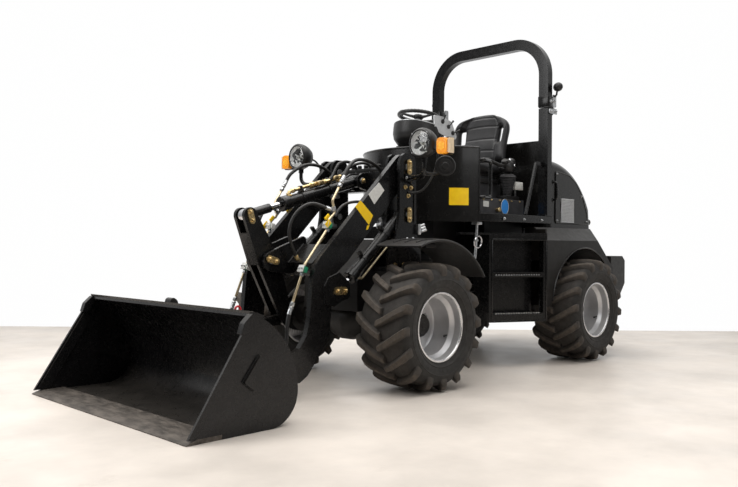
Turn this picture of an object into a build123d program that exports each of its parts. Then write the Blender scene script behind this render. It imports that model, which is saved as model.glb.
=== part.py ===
"""Compact articulated wheel loader, millimetres, +X forward, +Y left, +Z up.

Places are written from the front axle line (x = 0 there, z = 0 on the ground)
and shifted by FRONT_AXLE_X so that the origin is the bottom centre of the
whole machine's box.
"""
from build123d import *
import math
import os

os.makedirs("parts", exist_ok=True)

# ---------------------------------------------------------------- sizes
FRONT_AXLE_X = 398.0            # front axle from the origin
WHEELBASE = 1850.0
REAR_X = -WHEELBASE
PIVOT_X = -925.0                # frame hinge, half way between the axles
TYRE_R = 383.0
AXLE_Z = TYRE_R
TYRE_Y = 605.0                  # middle of each tyre
TYRE_HALF = 197.0
RIM_FLANGE_R = 207.5            # 15 inch rim
BUCKET_HALF = 804.0
BUCKET_LIP_X = 1744.0
COUNTER_REAR_X = -2540.0

# loader linkage pins, x and z at rest (bucket flat on the ground)
PIN_BOOM = (-137.0, 1360.0)
PIN_BUCKET = (985.0, 160.0)
PIN_CRANK = (720.0, 772.0)
PIN_CRANK_TOP = (850.0, 1031.0)
PIN_CRANK_LOW = (570.0, 420.0)
PIN_LINK = (1005.0, 345.0)      # link on the bucket hitch
PIN_TILT_BASE = (-40.0, 1283.0)
PIN_LIFT_BASE = (-140.0, 1057.0)
PIN_LIFT_ROD = (395.0, 592.0)
RUN = 0.05                      # running clearance on the radius

ARM_Y0, ARM_Y1 = 297.0, 333.0   # boom arm plate
TOWER_IN = (250.0, 272.0)
TOWER_OUT = (358.0, 380.0)


# ---------------------------------------------------------------- helpers
def prism(pts, y0, y1, holes=()):
    """Plate from an x-z outline between y0 and y1, holes as (x, z, r)."""
    face = make_face(Polyline(*[(x, z) for x, z in pts], close=True))
    for x, z, r in holes:
        face -= Pos(x, z) * Circle(r)
    face = Rot(90, 0, 0) * face
    return Pos(0, y0, 0) * extrude(face, amount=y1 - y0, dir=(0, 1, 0))


def plan(pts, z0, z1, holes=()):
    """Plate from an x-y outline between z0 and z1, holes as (x, y, r)."""
    face = make_face(Polyline(*pts, close=True))
    for x, y, r in holes:
        face -= Pos(x, y) * Circle(r)
    return Pos(0, 0, z0) * extrude(face, amount=z1 - z0, dir=(0, 0, 1))


def box(x0, x1, y0, y1, z0, z1):
    return Pos((x0 + x1) / 2, (y0 + y1) / 2, (z0 + z1) / 2) * Box(x1 - x0, y1 - y0, z1 - z0)


def rod_y(x, z, r, y0, y1):
    return Pos(x, (y0 + y1) / 2, z) * Rot(90, 0, 0) * Cylinder(r, y1 - y0)


def rod(p, q, r):
    """Round bar from p to q."""
    p, q = Vector(*p), Vector(*q)
    d = q - p
    return Plane(origin=p, z_dir=d.normalized()) * Cylinder(
        r, d.length, align=(Align.CENTER, Align.CENTER, Align.MIN))


def turned(pts, y_mid, side, x, z):
    """Turned ring: points are (radius, offset from y_mid, outboard positive)."""
    face = make_face(Polyline(*[(r, side * (y_mid + o)) for r, o in pts], close=True))
    return Pos(x, 0, z) * revolve(face, Axis.Y, 360)


def bent(points, r, bend):
    """Round tube along a polyline with arcs of radius bend at its corners."""
    path = FilletPolyline(*points, radius=bend)
    start = Plane(origin=path @ 0, z_dir=path % 0)
    return sweep(start * Circle(r), path=path)


def both(solid):
    return [solid, mirror(solid, about=Plane.XZ)]


def joined(first, *others):
    for o in others:
        first = first + o
    return first


def hull_pts(circles, steps=10):
    """Outline around circles (x, z, r) taken as a convex hull."""
    pts = []
    for x, z, r in circles:
        for k in range(4 * steps):
            a = k * math.pi / (2 * steps)
            pts.append((x + r * math.cos(a), z + r * math.sin(a)))
    pts = sorted(set((round(a, 4), round(b, 4)) for a, b in pts))

    def half(seq):
        out = []
        for p in seq:
            while len(out) > 1 and ((out[-1][0] - out[-2][0]) * (p[1] - out[-2][1])
                                    - (out[-1][1] - out[-2][1]) * (p[0] - out[-2][0])) <= 0:
                out.pop()
            out.append(p)
        return out[:-1]
    return half(pts) + half(pts[::-1])


NODES = {}


def node(name, *solids):
    flat = []
    for s in solids:
        flat += s if isinstance(s, list) else [s]
    parts = []
    for s in flat:
        parts += s.solids()
    parts = [Pos(FRONT_AXLE_X, 0, 0) * p for p in parts]
    NODES[name] = parts[0] if len(parts) == 1 else Compound(children=parts)


# ---------------------------------------------------------------- wheels
TYRE_PROFILE = [(200, -150), (209, -156), (235, -178), (285, -197), (330, -190), (366, -166),
                (383, -125), (383, 125), (366, 166), (330, 190), (285, 197), (235, 178),
                (209, 156), (200, 150)]
TYRE_CAVITY = [(226, -132), (252, -155), (290, -172), (326, -166), (350, -140), (356, -110),
               (356, 110), (350, 140), (326, 166), (290, 172), (252, 155), (226, 132)]
RIM_PROFILE = [(207.5, 167), (207.5, 158), (199.5, 157), (199.5, 112), (178, 88), (178, -88),
               (199.5, -112), (199.5, -157), (207.5, -158), (207.5, -167), (197, -167),
               (192, -158), (192, -114), (170, -90), (170, -48), (72, -48), (72, -36),
               (150, -36), (170, -28), (170, 90), (192, 114), (192, 158), (197, 167)]
HUB_PROFILE = [(30 + RUN, -62), (118, -62), (118, -48.3), (70, -48.3), (70, 4), (58, 14),
               (52, 30), (0, 30), (0, -10), (30 + RUN, -10)]
WHEELS = [  # name, axle x, side
    ("front_left", 0.0, 1), ("front_right", 0.0, -1),
    ("rear_left", REAR_X, 1), ("rear_right", REAR_X, -1)]
for name, x, side in WHEELS:
    node(name + "_tyre", turned(TYRE_PROFILE, TYRE_Y, side, x, AXLE_Z) - turned(TYRE_CAVITY, TYRE_Y, side, x, AXLE_Z))
    node(name + "_rim", turned(RIM_PROFILE, TYRE_Y, side, x, AXLE_Z),
         turned(HUB_PROFILE, TYRE_Y, side, x, AXLE_Z))


def axle(x, pinion):
    """Drive axle: tubes, centre housing, pinion nose and brake ends."""
    body = rod_y(x, AXLE_Z, 55, -480, 480)
    bulge = Pos(x, 0, AXLE_Z) * revolve(make_face(Polyline(
        (0, -150), (70, -150), (120, -95), (138, -40), (138, 40), (120, 95), (70, 150), (0, 150), close=True)),
        Axis.Y, 360)
    nose = rod((x, 0, AXLE_Z), (x + pinion * 250, 0, AXLE_Z), 62)
    flange = rod((x + pinion * 250, 0, AXLE_Z), (x + pinion * 275, 0, AXLE_Z), 50)
    body = joined(body, bulge, nose, flange)
    for s in (1, -1):
        for r, y0, y1 in ((78, 395, 470), (122, 460, 536), (30, 536, 582)):
            body += rod_y(x, AXLE_Z, r, min(s * y0, s * y1), max(s * y0, s * y1))
    return body


node("front_axle", axle(0.0, -1))
node("rear_axle", axle(REAR_X, 1))

# ---------------------------------------------------------------- front frame
CH_Y0, CH_Y1 = 226.0, 250.0     # chassis side plates
TONGUE_UP, TONGUE_LOW = (720.0, 750.0), (450.0, 480.0)
PIVOT_R = 30.0
side_outline = [(180, 450), (180, 640), (-40, 900), (-420, 900), (-420, 450)]
front = prism(side_outline, CH_Y0, CH_Y1)
front += prism(side_outline, -CH_Y1, -CH_Y0)
front += box(-420, 180, -CH_Y0, CH_Y0, 450, 470)
front += box(-420, -40, -CH_Y0, CH_Y0, 880, 900)
front += prism([(180, 470), (180, 640), (-40, 900), (-60, 880), (155, 625), (155, 470)], -CH_Y0, CH_Y0)
front += box(-420, -400, -CH_Y0, CH_Y0, 470, 880)
tongue = [(-400, -226), (-400, 226), (-905, 78), (-950, 74), (-980, 56), (-998, 0), (-980, -56), (-950, -74), (-905, -78)]
for z0, z1 in (TONGUE_UP, TONGUE_LOW):
    front += plan(tongue, z0, z1, [(PIVOT_X, 0, PIVOT_R + RUN)])
for s in (1, -1):
    front += box(-700, -400, s * 110 - 10, s * 110 + 10, TONGUE_LOW[1], TONGUE_UP[0])
STEER_Z = 600.0
STEER_FRONT = (-805.0, 230.0)   # steering rod eye on the front frame
STEER_BASE = (-1405.0, 230.0)
for z0, z1 in ((STEER_Z - 58, STEER_Z - 40), (STEER_Z + 40, STEER_Z + 58)):
    front += plan([(-700, 100), (-590, 100), (-590, 135), (-765, 258), (-805, 268), (-840, 252), (-845, 215), (-790, 170)], z0, z1)
for s in (1, -1):
    saddle = box(-70, 70, s * 300 - 40, s * 300 + 40, 400, 450) - rod_y(0, AXLE_Z, 55.2, s * 300 - 50, s * 300 + 50)
    front += saddle
    front += box(-70, 70, min(s * 226, s * 340), max(s * 226, s * 340), 450, 470)
front -= box(-148, 148, -160, 160, 440, 530)
node("front_chassis", front)

TOWER = [(-262, 700), (40, 700), (40, 810), (-36, 930), (-60, 1060), (-62, 1395), (-80, 1430),
         (-105, 1446), (-170, 1446), (-198, 1430), (-213, 1395), (-222, 960), (-262, 810)]
tower_holes = [(*PIN_BOOM, 25 + RUN), (*PIN_LIFT_BASE, 22 + RUN)]
tower = []
for s in (1, -1):
    part = None
    for y0, y1 in (TOWER_IN, TOWER_OUT):
        p = prism(TOWER, min(s * y0, s * y1), max(s * y0, s * y1), tower_holes)
        part = p if part is None else part + p
    a, b = s * TOWER_IN[1], s * TOWER_OUT[0]
    part += box(-262, 40, min(a, b), max(a, b), 700, 725)
    part += prism([(-262, 725), (-240, 725), (-240, 812), (-205, 955), (-203, 985), (-221, 985), (-222, 960), (-262, 810)],
                  min(a, b), max(a, b))
    tower.append(part)
node("loader_tower", tower)
cross = box(-195, -95, -250, 250, 1215, 1345)
for s in (1, -1):
    y0, y1 = sorted((s * 46, s * 66))
    cross += prism([(-95, 1222), (-95, 1340), (-40, 1335), (0, 1310), (8, 1283), (0, 1254), (-40, 1231)],
                   y0, y1, [(*PIN_TILT_BASE, 20 + RUN)])
cross += box(-200, -110, -250, 250, 905, 985)
node("tower_beams", cross)
node("tower_pins",
     both(rod_y(*PIN_BOOM, 25, 250.5, 388)),
     both(rod_y(*PIN_LIFT_BASE, 22, 250.5, 388)),
     rod_y(*PIN_TILT_BASE, 20, -74, 74))

FENDER_R, FENDER_T = 505.0, 12.0
FENDER_Y = (425.0, 770.0)
fender_arc = []
for k in range(14):
    a = math.radians(68 + 78 * k / 13)
    fender_arc.append(((FENDER_R + FENDER_T) * math.cos(a), AXLE_Z + (FENDER_R + FENDER_T) * math.sin(a)))
for k in range(13, -1, -1):
    a = math.radians(68 + 78 * k / 13)
    fender_arc.append((FENDER_R * math.cos(a), AXLE_Z + FENDER_R * math.sin(a)))
fender = prism(fender_arc, *FENDER_Y)
fender += box(-105, -15, TOWER_OUT[1], 640, 850, 874)
node("front_fenders", both(fender))

LAMP = (-18.0, 578.0, 1487.0)
LENS_R = 74.0
LAMP_SHELL = [(6, 80, 92, 34), (40, 92, 78, 50), (90, 78, 34, 36)]   # start behind the lens, radii, length
lamp = None
for back, r0, r1, length in LAMP_SHELL:
    ring = Plane(origin=(LAMP[0] - back, LAMP[1], LAMP[2]), z_dir=(-1, 0, 0)) * Cone(
        r0, r1, length, align=(Align.CENTER, Align.CENTER, Align.MIN))
    lamp = ring if lamp is None else lamp + ring
lamp += bent([(LAMP[0] - 45, LAMP[1], LAMP[2] - 80), (LAMP[0] - 45, LAMP[1], 1290), (-140, TOWER_OUT[1] + 6, 1290)], 13, 18)
lamp += rod((LAMP[0] - 45, LAMP[1] + 70, 1440), (LAMP[0] - 45, LAMP[1] + 106, 1440), 9)
node("headlamps", both(lamp))
node("headlamp_lenses", both(rod((LAMP[0] - 6, LAMP[1], LAMP[2]), (LAMP[0] + 4, LAMP[1], LAMP[2]), LENS_R)))
indicator = box(LAMP[0] - 80, LAMP[0] - 20, LAMP[1] + 106, LAMP[1] + 208, LAMP[2] - 82, LAMP[2] + 28)
node("indicator_lamps", both(indicator))

# ---------------------------------------------------------------- boom
ARM = [(-80, 1418), (562, 793), (600, 745), (618, 670), (640, 440), (664, 345), (715, 278), (800, 240),
       (985, 222), (1020, 212), (1043, 185), (1047, 160), (1040, 132), (1018, 108), (985, 98),
       (712, 84), (655, 118), (560, 232), (490, 345), (476, 440), (468, 600), (446, 690), (340, 770),
       (-160, 1262), (-200, 1292), (-222, 1335), (-218, 1385), (-195, 1420), (-150, 1444), (-112, 1441)]
arm = prism(ARM, ARM_Y0, ARM_Y1, [(*PIN_BOOM, 25 + RUN), (*PIN_BUCKET, 24 + RUN)])
LUG = [(330, 560), (336, 640), (415, 700), (500, 672), (536, 620), (530, 520), (460, 500), (395, 532), (350, 540)]
arm += rod_y(*PIN_BOOM, 52, 277, 353) - rod_y(*PIN_BOOM, 25 + RUN, 270, 360)
arm += prism(LUG, ARM_Y1, ARM_Y1 + 8)
arm += prism(LUG, ARM_Y0 - 8, ARM_Y0)
node("boom_arms", both(arm))

CROSS = (500.0, 772.0)
ct, st = math.cos(math.radians(-44)), math.sin(math.radians(-44))


def cross_pts(h, v):
    return [(CROSS[0] + ct * a - st * b, CROSS[1] + st * a + ct * b)
            for a, b in ((-h, -v), (h, -v), (h, v), (-h, v))]


beam = prism(cross_pts(80, 55), -ARM_Y0, ARM_Y0)
for s in (1, -1):
    y0, y1 = sorted((s * 62, s * 84))
    beam += prism([(446, 838), (458, 906), (476, 914), (640, 856), (742, 816), (770, 794), (780, 764), (768, 728),
                   (735, 706), (690, 700), (590, 690), (520, 700)], y0, y1, [(*PIN_CRANK, 24 + RUN)])
node("boom_crossbeam", beam)

# hydraulic steel pipes clipped on the arms, with their clamps
PIPE_Y = 274.0
PIPE_R = 8.0
PIPE = [(349, 1233), (417, 1126), (396, 1055), (446, 1010), (456, 958), (629, 750), (729, 508)]   # x, z
node("boom_pipes", both(bent([(x, PIPE_Y, z) for x, z in PIPE], PIPE_R, 20)))

# ---------------------------------------------------------------- bellcrank, link
CRANK_Y = (30.0, 52.0)
crank_up = hull_pts([(*PIN_CRANK_TOP, 46), (*PIN_CRANK, 76)])
crank_low = hull_pts([(*PIN_CRANK, 76), (*PIN_CRANK_LOW, 46)])
crank = rod_y(*PIN_CRANK, 44, -54, 54)
crank += prism([(860, 926), (788, 742), (775, 749), (847, 933)], -CRANK_Y[0] - 1, CRANK_Y[0] + 1)   # front web
for s in (1, -1):
    y0, y1 = sorted((s * CRANK_Y[0], s * CRANK_Y[1]))
    crank += prism(crank_up, y0, y1) + prism(crank_low, y0, y1)
crank -= rod_y(*PIN_CRANK, 24 + RUN, -60, 60)
node("bellcrank", crank)
node("bellcrank_pin", rod_y(*PIN_CRANK, 24, -92, 92))


def bar(p, q, r_end, half_w, y_half):
    """Flat link with round ends."""
    d = math.hypot(q[0] - p[0], q[1] - p[1])
    u = ((q[0] - p[0]) / d, (q[1] - p[1]) / d)
    n = (-u[1], u[0])
    body = prism([(p[0] + n[0] * half_w, p[1] + n[1] * half_w), (q[0] + n[0] * half_w, q[1] + n[1] * half_w),
                  (q[0] - n[0] * half_w, q[1] - n[1] * half_w), (p[0] - n[0] * half_w, p[1] - n[1] * half_w)],
                 -y_half, y_half)
    for x, z in (p, q):
        body += rod_y(x, z, r_end, -y_half, y_half)
    return body


link = bar(PIN_CRANK_LOW, PIN_LINK, 40, 30, 20)
link -= rod_y(*PIN_LINK, 20 + RUN, -30, 30)
link += rod_y(*PIN_CRANK_LOW, 20, -26, 26)
node("tilt_link", link)
node("link_pin", rod_y(*PIN_LINK, 20, -62, 62))

# ---------------------------------------------------------------- cylinders


def along(p, q, s):
    """Point on the line p to q (x, z), s millimetres from p."""
    d = math.hypot(q[0] - p[0], q[1] - p[1])
    return (p[0] + (q[0] - p[0]) * s / d, p[1] + (q[1] - p[1]) * s / d)


def barrel(p, q, y, y_half, length, r, r_bore, eye_r, pin_r, cap=24):
    """Cylinder tube from its base eye at p towards q, open for the rod."""
    s0 = along(p, q, eye_r - 6)
    s1 = along(p, q, length)
    tube = rod((s0[0], y, s0[1]), (s1[0], y, s1[1]), r)
    g0 = along(p, q, length - 46)
    tube += rod((g0[0], y, g0[1]), (s1[0], y, s1[1]), r + 7)
    tube += rod_y(*p, eye_r, y - y_half, y + y_half)
    b0 = along(p, q, eye_r + cap)
    b1 = along(p, q, length + 20)
    tube -= rod((b0[0], y, b0[1]), (b1[0], y, b1[1]), r_bore)
    tube -= rod_y(*p, pin_r + RUN, y - y_half - 5, y + y_half + 5)
    return tube


def ram(p, q, y, y_half, start, r, piston_r, eye_r, pin_r, pin_half):
    """Rod with its piston, from start mm along the line to the eye at q."""
    d = math.hypot(q[0] - p[0], q[1] - p[1])
    a, b = along(p, q, start), along(p, q, d - eye_r + 6)
    body = rod((a[0], y, a[1]), (b[0], y, b[1]), r)
    c = along(p, q, start + 40)
    body += rod((a[0], y, a[1]), (c[0], y, c[1]), piston_r)
    body += rod_y(*q, eye_r, y - y_half, y + y_half)
    body += rod_y(*q, pin_r, y - pin_half, y + pin_half)
    return body


LIFT_Y = 315.0
node("lift_barrels", both(barrel(PIN_LIFT_BASE, PIN_LIFT_ROD, LIFT_Y, 15, 590, 36, 29.5, 40, 22)))
node("lift_rods", both(ram(PIN_LIFT_BASE, PIN_LIFT_ROD, LIFT_Y, 12, 120, 16, 29, 36, 16, 16)))
node("tilt_barrel", barrel(PIN_TILT_BASE, PIN_CRANK_TOP, 0.0, 38, 640, 38, 31.5, 40, 20))
node("tilt_rod", ram(PIN_TILT_BASE, PIN_CRANK_TOP, 0.0, 20, 290, 20, 31, 38, 18, 26))


def level_bar(p, q, z, r, t0, t1):
    """Round bar along the plan line p to q between distances t0 and t1."""
    d = math.hypot(q[0] - p[0], q[1] - p[1])
    u = ((q[0] - p[0]) / d, (q[1] - p[1]) / d)
    return rod((p[0] + u[0] * t0, p[1] + u[1] * t0, z), (p[0] + u[0] * t1, p[1] + u[1] * t1, z), r)


def rod_z(x, y, r, z0, z1):
    return Pos(x, y, (z0 + z1) / 2) * Cylinder(r, z1 - z0)


STEER_LEN = STEER_FRONT[0] - STEER_BASE[0]
sb = level_bar(STEER_BASE, STEER_FRONT, STEER_Z, 30, 26, 390) + level_bar(STEER_BASE, STEER_FRONT, STEER_Z, 35, 352, 390)
sb += rod_z(*STEER_BASE, 32, STEER_Z - 22, STEER_Z + 22)
sb -= level_bar(STEER_BASE, STEER_FRONT, STEER_Z, 24.5, 50, 410)
sb -= rod_z(*STEER_BASE, 16 + RUN, STEER_Z - 30, STEER_Z + 30)
node("steer_barrel", sb)
sr = level_bar(STEER_BASE, STEER_FRONT, STEER_Z, 15, 204, STEER_LEN - 24) + level_bar(STEER_BASE, STEER_FRONT, STEER_Z, 24, 204, 230)
sr += rod_z(*STEER_FRONT, 30, STEER_Z - 20, STEER_Z + 20) + rod_z(*STEER_FRONT, 14, STEER_Z - 27, STEER_Z + 27)
node("steer_rod", sr)

# ---------------------------------------------------------------- bucket
SHELL_T = 14.0
ARC1 = (1290.0, 165.0, 165.0)   # lower back curve: centre x, z, radius
ARC2 = (1529.0, 165.0, 404.0)   # upper back curve
TOP_A = math.radians(109.8)


def pol(c, dr, deg):
    return (c[0] + (c[2] + dr) * math.cos(math.radians(deg)), c[1] + (c[2] + dr) * math.sin(math.radians(deg)))


def bucket_section(extra=None):
    """Closed x-z face of the bent sheet; with extra, the filled side outline."""
    top_deg = 109.8
    lines = [Line((1560, 0), (ARC1[0], 0)),
             ThreePointArc((ARC1[0], 0), pol(ARC1, 0, 225), pol(ARC1, 0, 180)),
             ThreePointArc(pol(ARC2, 0, 180), pol(ARC2, 0, 145), pol(ARC2, 0, top_deg))]
    if extra:
        pts = [pol(ARC2, 0, top_deg)] + extra + [(1560, 0)]
        lines += [Line(a, b) for a, b in zip(pts, pts[1:])]
    else:
        t = -SHELL_T
        lines += [Line(pol(ARC2, 0, top_deg), pol(ARC2, t, top_deg)),
                  ThreePointArc(pol(ARC2, t, top_deg), pol(ARC2, t, 145), pol(ARC2, t, 180)),
                  ThreePointArc(pol(ARC1, t, 180), pol(ARC1, t, 225), (ARC1[0], SHELL_T)),
                  Line((ARC1[0], SHELL_T), (1560, SHELL_T)), Line((1560, SHELL_T), (1560, 0))]
    return make_face(lines)


def slab(face, y0, y1):
    return Pos(0, y0, 0) * extrude(Rot(90, 0, 0) * face, amount=y1 - y0, dir=(0, 1, 0))


SIDE_EDGE = [(1440, 505), (1456, 455), (1736, 22), (1560, 22)]
solid_outline = bucket_section(SIDE_EDGE)
shell = slab(bucket_section(), -BUCKET_HALF, BUCKET_HALF)
for s in (1, -1):
    y0, y1 = sorted((s * (BUCKET_HALF - SHELL_T), s * BUCKET_HALF))
    shell += slab(solid_outline, y0, y1)
shell += prism([(1392, 545), (1396, 558), (1330, 536), (1338, 520)], -BUCKET_HALF, BUCKET_HALF)
node("bucket_shell", shell)
node("cutting_edge", prism([(1560, 0), (BUCKET_LIP_X, 0), (BUCKET_LIP_X, 4), (1690, 22), (1560, 22)], -BUCKET_HALF, BUCKET_HALF))

back = slab(solid_outline, -BUCKET_HALF - 5, BUCKET_HALF + 5)
hitch_lug = [(985, 98), (1150, 70), (1190, 400), (1120, 420), (1060, 330), (985, 222), (945, 200), (925, 160), (945, 118)]
link_lug = [(1005, 300), (1150, 250), (1210, 420), (1140, 440), (1005, 390), (970, 375), (958, 345), (970, 315)]
hitch = None
for s in (1, -1):
    for y0, y1 in ((268, 290), (340, 362)):
        a, b = sorted((s * y0, s * y1))
        p = prism(hitch_lug, a, b, [(*PIN_BUCKET, 24 + RUN)])
        hitch = p if hitch is None else hitch + p
    a, b = sorted((s * 30, s * 52))
    hitch += prism(link_lug, a, b, [(*PIN_LINK, 20 + RUN)])
hitch += rod_y(1138, 390, 30, -420, 420)
hitch += prism([(1152, 45), (1182, 45), (1182, 105), (1134, 105)], -420, 420)
for s in (1, -1):
    a, b = sorted((s * 395, s * 420))
    hitch += prism([(1098, 60), (1170, 60), (1230, 430), (1110, 430)], a, b)
hitch -= back
node("quick_hitch", hitch)
node("bucket_pins", both(rod_y(*PIN_BUCKET, 24, 258, 372)))

# ---------------------------------------------------------------- rear frame
RAIL_Y = (300.0, 325.0)
rail = [(-1060, 400), (-1060, 800), (-1450, 800), (-1600, 720), (-2300, 720), (-2300, 470), (-1300, 470), (-1180, 400)]
rear = None
for s in (1, -1):
    p = prism(rail, *sorted((s * RAIL_Y[0], s * RAIL_Y[1])))
    rear = p if rear is None else rear + p
rear += box(-1060, -1040, -325, 130, 400, 800) + box(-1060, -1040, 130, 325, 690, 800)
rear += box(-1060, -1040, 130, 325, 400, 480)
LUGS = [(405.0, 440.0), (490.0, 525.0), (675.0, 710.0), (760.0, 795.0)]   # hinge plates, z ranges
lug_outline = [(-1050, -160), (-1050, 160), (-955, 78), (-905, 76), (-868, 52), (-853, 0), (-868, -52), (-905, -76), (-955, -78)]
for z0, z1 in LUGS:
    rear += plan(lug_outline, z0, z1, [(PIVOT_X, 0, PIVOT_R + RUN)])
rear -= box(-1140, -1030, 290, 330, 545, 655)      # notch that the steering cylinder swings into
rear += box(-2300, -2270, -300, 300, 480, 720)
rear += box(-1720, -1700, -300, 300, 480, 640)
for z0, z1 in ((STEER_Z - 56, STEER_Z - 36), (STEER_Z + 36, STEER_Z + 56)):
    rear += plan([(-1470, 300), (-1470, 190), (-1400, 186), (-1368, 210), (-1368, 250), (-1340, 300)], z0, z1,
                 [(*STEER_BASE, 16 + RUN)])
for s in (1, -1):
    saddle = box(REAR_X - 70, REAR_X + 70, s * 312 - 40, s * 312 + 40, 400, 470) - rod_y(REAR_X, AXLE_Z, 55.2, s * 312 - 50, s * 312 + 50)
    rear += saddle
node("rear_chassis", rear)
node("articulation_pins", rod_z(PIVOT_X, 0, PIVOT_R, 398, 532), rod_z(PIVOT_X, 0, PIVOT_R, 668, 802),
     rod_z(*STEER_BASE, 16, STEER_Z - 58, STEER_Z + 58))
node("engine_block", box(-2140, -1640, -255, 255, 730, 1180))

# counterweight with a towing slot and pin
cw = prism([(-2302, 500), (-2302, 785), (-2495, 785), (COUNTER_REAR_X, 748), (COUNTER_REAR_X, 560), (-2470, 478), (-2330, 478)], -655, 655)
TOW = (-2490.0, 16.5)
cw -= box(-2600, -2420, -70, 70, 585, 645)
cw -= rod_z(TOW[0], 0, TOW[1], 540, 800)
TIE = (-2400.0, 450.0, 14.0)    # lashing eyes under the counterweight: x, z, radius
for s in (1, -1):
    y0, y1 = sorted((s * 440, s * 460))
    cw += prism([(-2462, 480), (-2338, 480), (-2366, 420), (-2434, 420)], y0, y1)
    cw -= rod_y(TIE[0], TIE[1], TIE[2], y0 - 5, y1 + 5)
node("counterweight", cw)
node("tow_pin", joined(rod_z(TOW[0], 0, 16, 545, 800), rod_z(TOW[0], 0, 28, 800, 812)))

# engine hood: closed shell over the engine, open below
HOOD_HALF = 500.0


def hood_face(x0, z0, corner, top, back, rear):
    """Side outline of the hood: straight front, rounded corner, one long arc, raked tail."""
    return make_face([Line(rear, (x0, z0)), Line((x0, z0), corner[0]), ThreePointArc(*corner),
                      ThreePointArc(corner[2], top, back), Line(back, rear)])


hood = slab(hood_face(-1585, 1003, ((-1585, 1442), (-1608.4, 1498.6), (-1665, 1522)), (-2062, 1388.7), (-2250, 1165), (-2268, 1003)),
            -HOOD_HALF, HOOD_HALF)
long_edges = [e for e in hood.edges() if abs(abs(e.center().Y) - HOOD_HALF) < 1 and e.center().Z > 1010]
hood = fillet(long_edges, 60)
inner = slab(hood_face(-1593, 990, ((-1593, 1439), (-1614.1, 1489.9), (-1665, 1511)), (-2055, 1380.2), (-2239.7, 1161), (-2258, 990)),
             -440, 440)
hood -= inner
hood += box(-1588, -1572, -470, 470, 1090, 1665)      # bulkhead plate between the hoop's posts
node("engine_hood", hood)

# rear wings: outer skin with the wheel opening, shoulder up to the hood, arch liner
WING_Y = 671.0
ARCH_R = 466.0
wing_side = [(-1318, 430), (-1318, 1002), (-2262, 1002), (-2300, 800), (-2300, 430)]
WING_CUT = ((-2053, 671, 906), (-2201, 671, 779), (-2130, 560, 1002))   # slanted rear corner
skin = [(482, 1002), (560, 1002), (WING_Y, 905), (WING_Y, 430), (WING_Y - 16, 430), (WING_Y - 16, 898), (554, 986), (482, 986)]
wing = None
face = make_face(Polyline(*skin, close=True))
face = Plane(origin=(-2300, 0, 0), x_dir=(0, 1, 0), z_dir=(1, 0, 0)) * face
wing = extrude(face, amount=982, dir=(1, 0, 0))
wing &= prism(wing_side, 470, 700)
corner = [Vector(*p) for p in WING_CUT]
slant = Plane(origin=corner[0], x_dir=corner[1] - corner[0], z_dir=(corner[1] - corner[0]).cross(corner[2] - corner[0]))
wing -= slant * (Pos(0, 0, 300) * Box(1600, 1600, 600))
wing -= rod_y(REAR_X, AXLE_Z, ARCH_R, 470, 720)
ring = rod_y(REAR_X, AXLE_Z, ARCH_R + 12, 400, WING_Y - 16) - rod_y(REAR_X, AXLE_Z, ARCH_R, 390, 700)
ring -= box(REAR_X - 600, REAR_X + 600, 380, 720, -200, 430)
ring -= box(-2500, -2300, 380, 720, 400, 1000)
wing += ring
wing += box(-1334, -1318, 480, WING_Y - 16, 760, 986)
node("rear_wings", both(wing))

# deck, pedestal and step boxes
DECK_Z = (1030.0, 1085.0)
TUB_R = 571.0
deck_pts = []
for k in range(19):
    a = math.radians(70 - 140 * k / 18)
    deck_pts.append((PIVOT_X + (TUB_R - 14) * math.cos(a), (TUB_R - 14) * math.sin(a)))
deck_outline = deck_pts + [(-1000, -555), (-1575, -555), (-1575, 555), (-1000, 555)]
deck = plan(deck_outline, DECK_Z[1] - 8, DECK_Z[1])
rim_in = [(PIVOT_X + (x - PIVOT_X) * 0.965, y * 0.965) for x, y in deck_pts] + [(-1000, -537), (-1557, -537), (-1557, 537), (-1000, 537)]
deck += plan(deck_outline, DECK_Z[0], DECK_Z[1] - 8) - plan(rim_in, DECK_Z[0] - 5, DECK_Z[1] - 8)
node("deck", deck)
pedestal = box(-1555, -1065, -298, 298, 805, DECK_Z[1] - 8) + box(-1065, -700, -120, 120, 830, DECK_Z[1] - 8)
pedestal -= box(-1547, -1073, -290, 290, 813, DECK_Z[1] - 16)
node("hydraulic_tank", pedestal)

STEP_FACE = ((-1315.0, 671.0), (-900.0, 463.0))
STEP_Z = (325.0, 940.0)
step = plan([STEP_FACE[0], STEP_FACE[1], (-900, 330), (-1315, 330)], *STEP_Z)
fx, fy = STEP_FACE[1][0] - STEP_FACE[0][0], STEP_FACE[1][1] - STEP_FACE[0][1]
fl = math.hypot(fx, fy)
ux, uy = fx / fl, fy / fl
nx, ny = -uy, ux
if ny < 0:
    nx, ny = -nx, -ny


def on_face(s, d):
    """Plan point s along the step face and d outward from it."""
    return (STEP_FACE[0][0] + ux * s + nx * d, STEP_FACE[0][1] + uy * s + ny * d)


STEPS = [(385.0, 640.0), (675.0, 905.0)]    # foot pockets, z ranges
for z0, z1 in STEPS:
    step -= plan([on_face(30, 5), on_face(fl - 30, 5), on_face(fl - 30, -95), on_face(30, -120)], z0, z1)
top = plan([(-1315, 330), (-1315, 671), (-700, 361), (-700, 330)], STEP_Z[1], STEP_Z[1] + 15)
node("step_boxes", both(step + top))

# curved tub in front of the operator's legs
TUB_Z = (1025.0, 1530.0)
tub_pts = []
for k in range(25):
    a = math.radians(67 - 134 * k / 24)
    tub_pts.append((PIVOT_X + TUB_R * math.cos(a), TUB_R * math.sin(a)))
for k in range(24, -1, -1):
    a = math.radians(67 - 134 * k / 24)
    tub_pts.append((PIVOT_X + (TUB_R - 9.5) * math.cos(a), (TUB_R - 9.5) * math.sin(a)))
node("tub_panel", plan(tub_pts, *TUB_Z))

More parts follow.
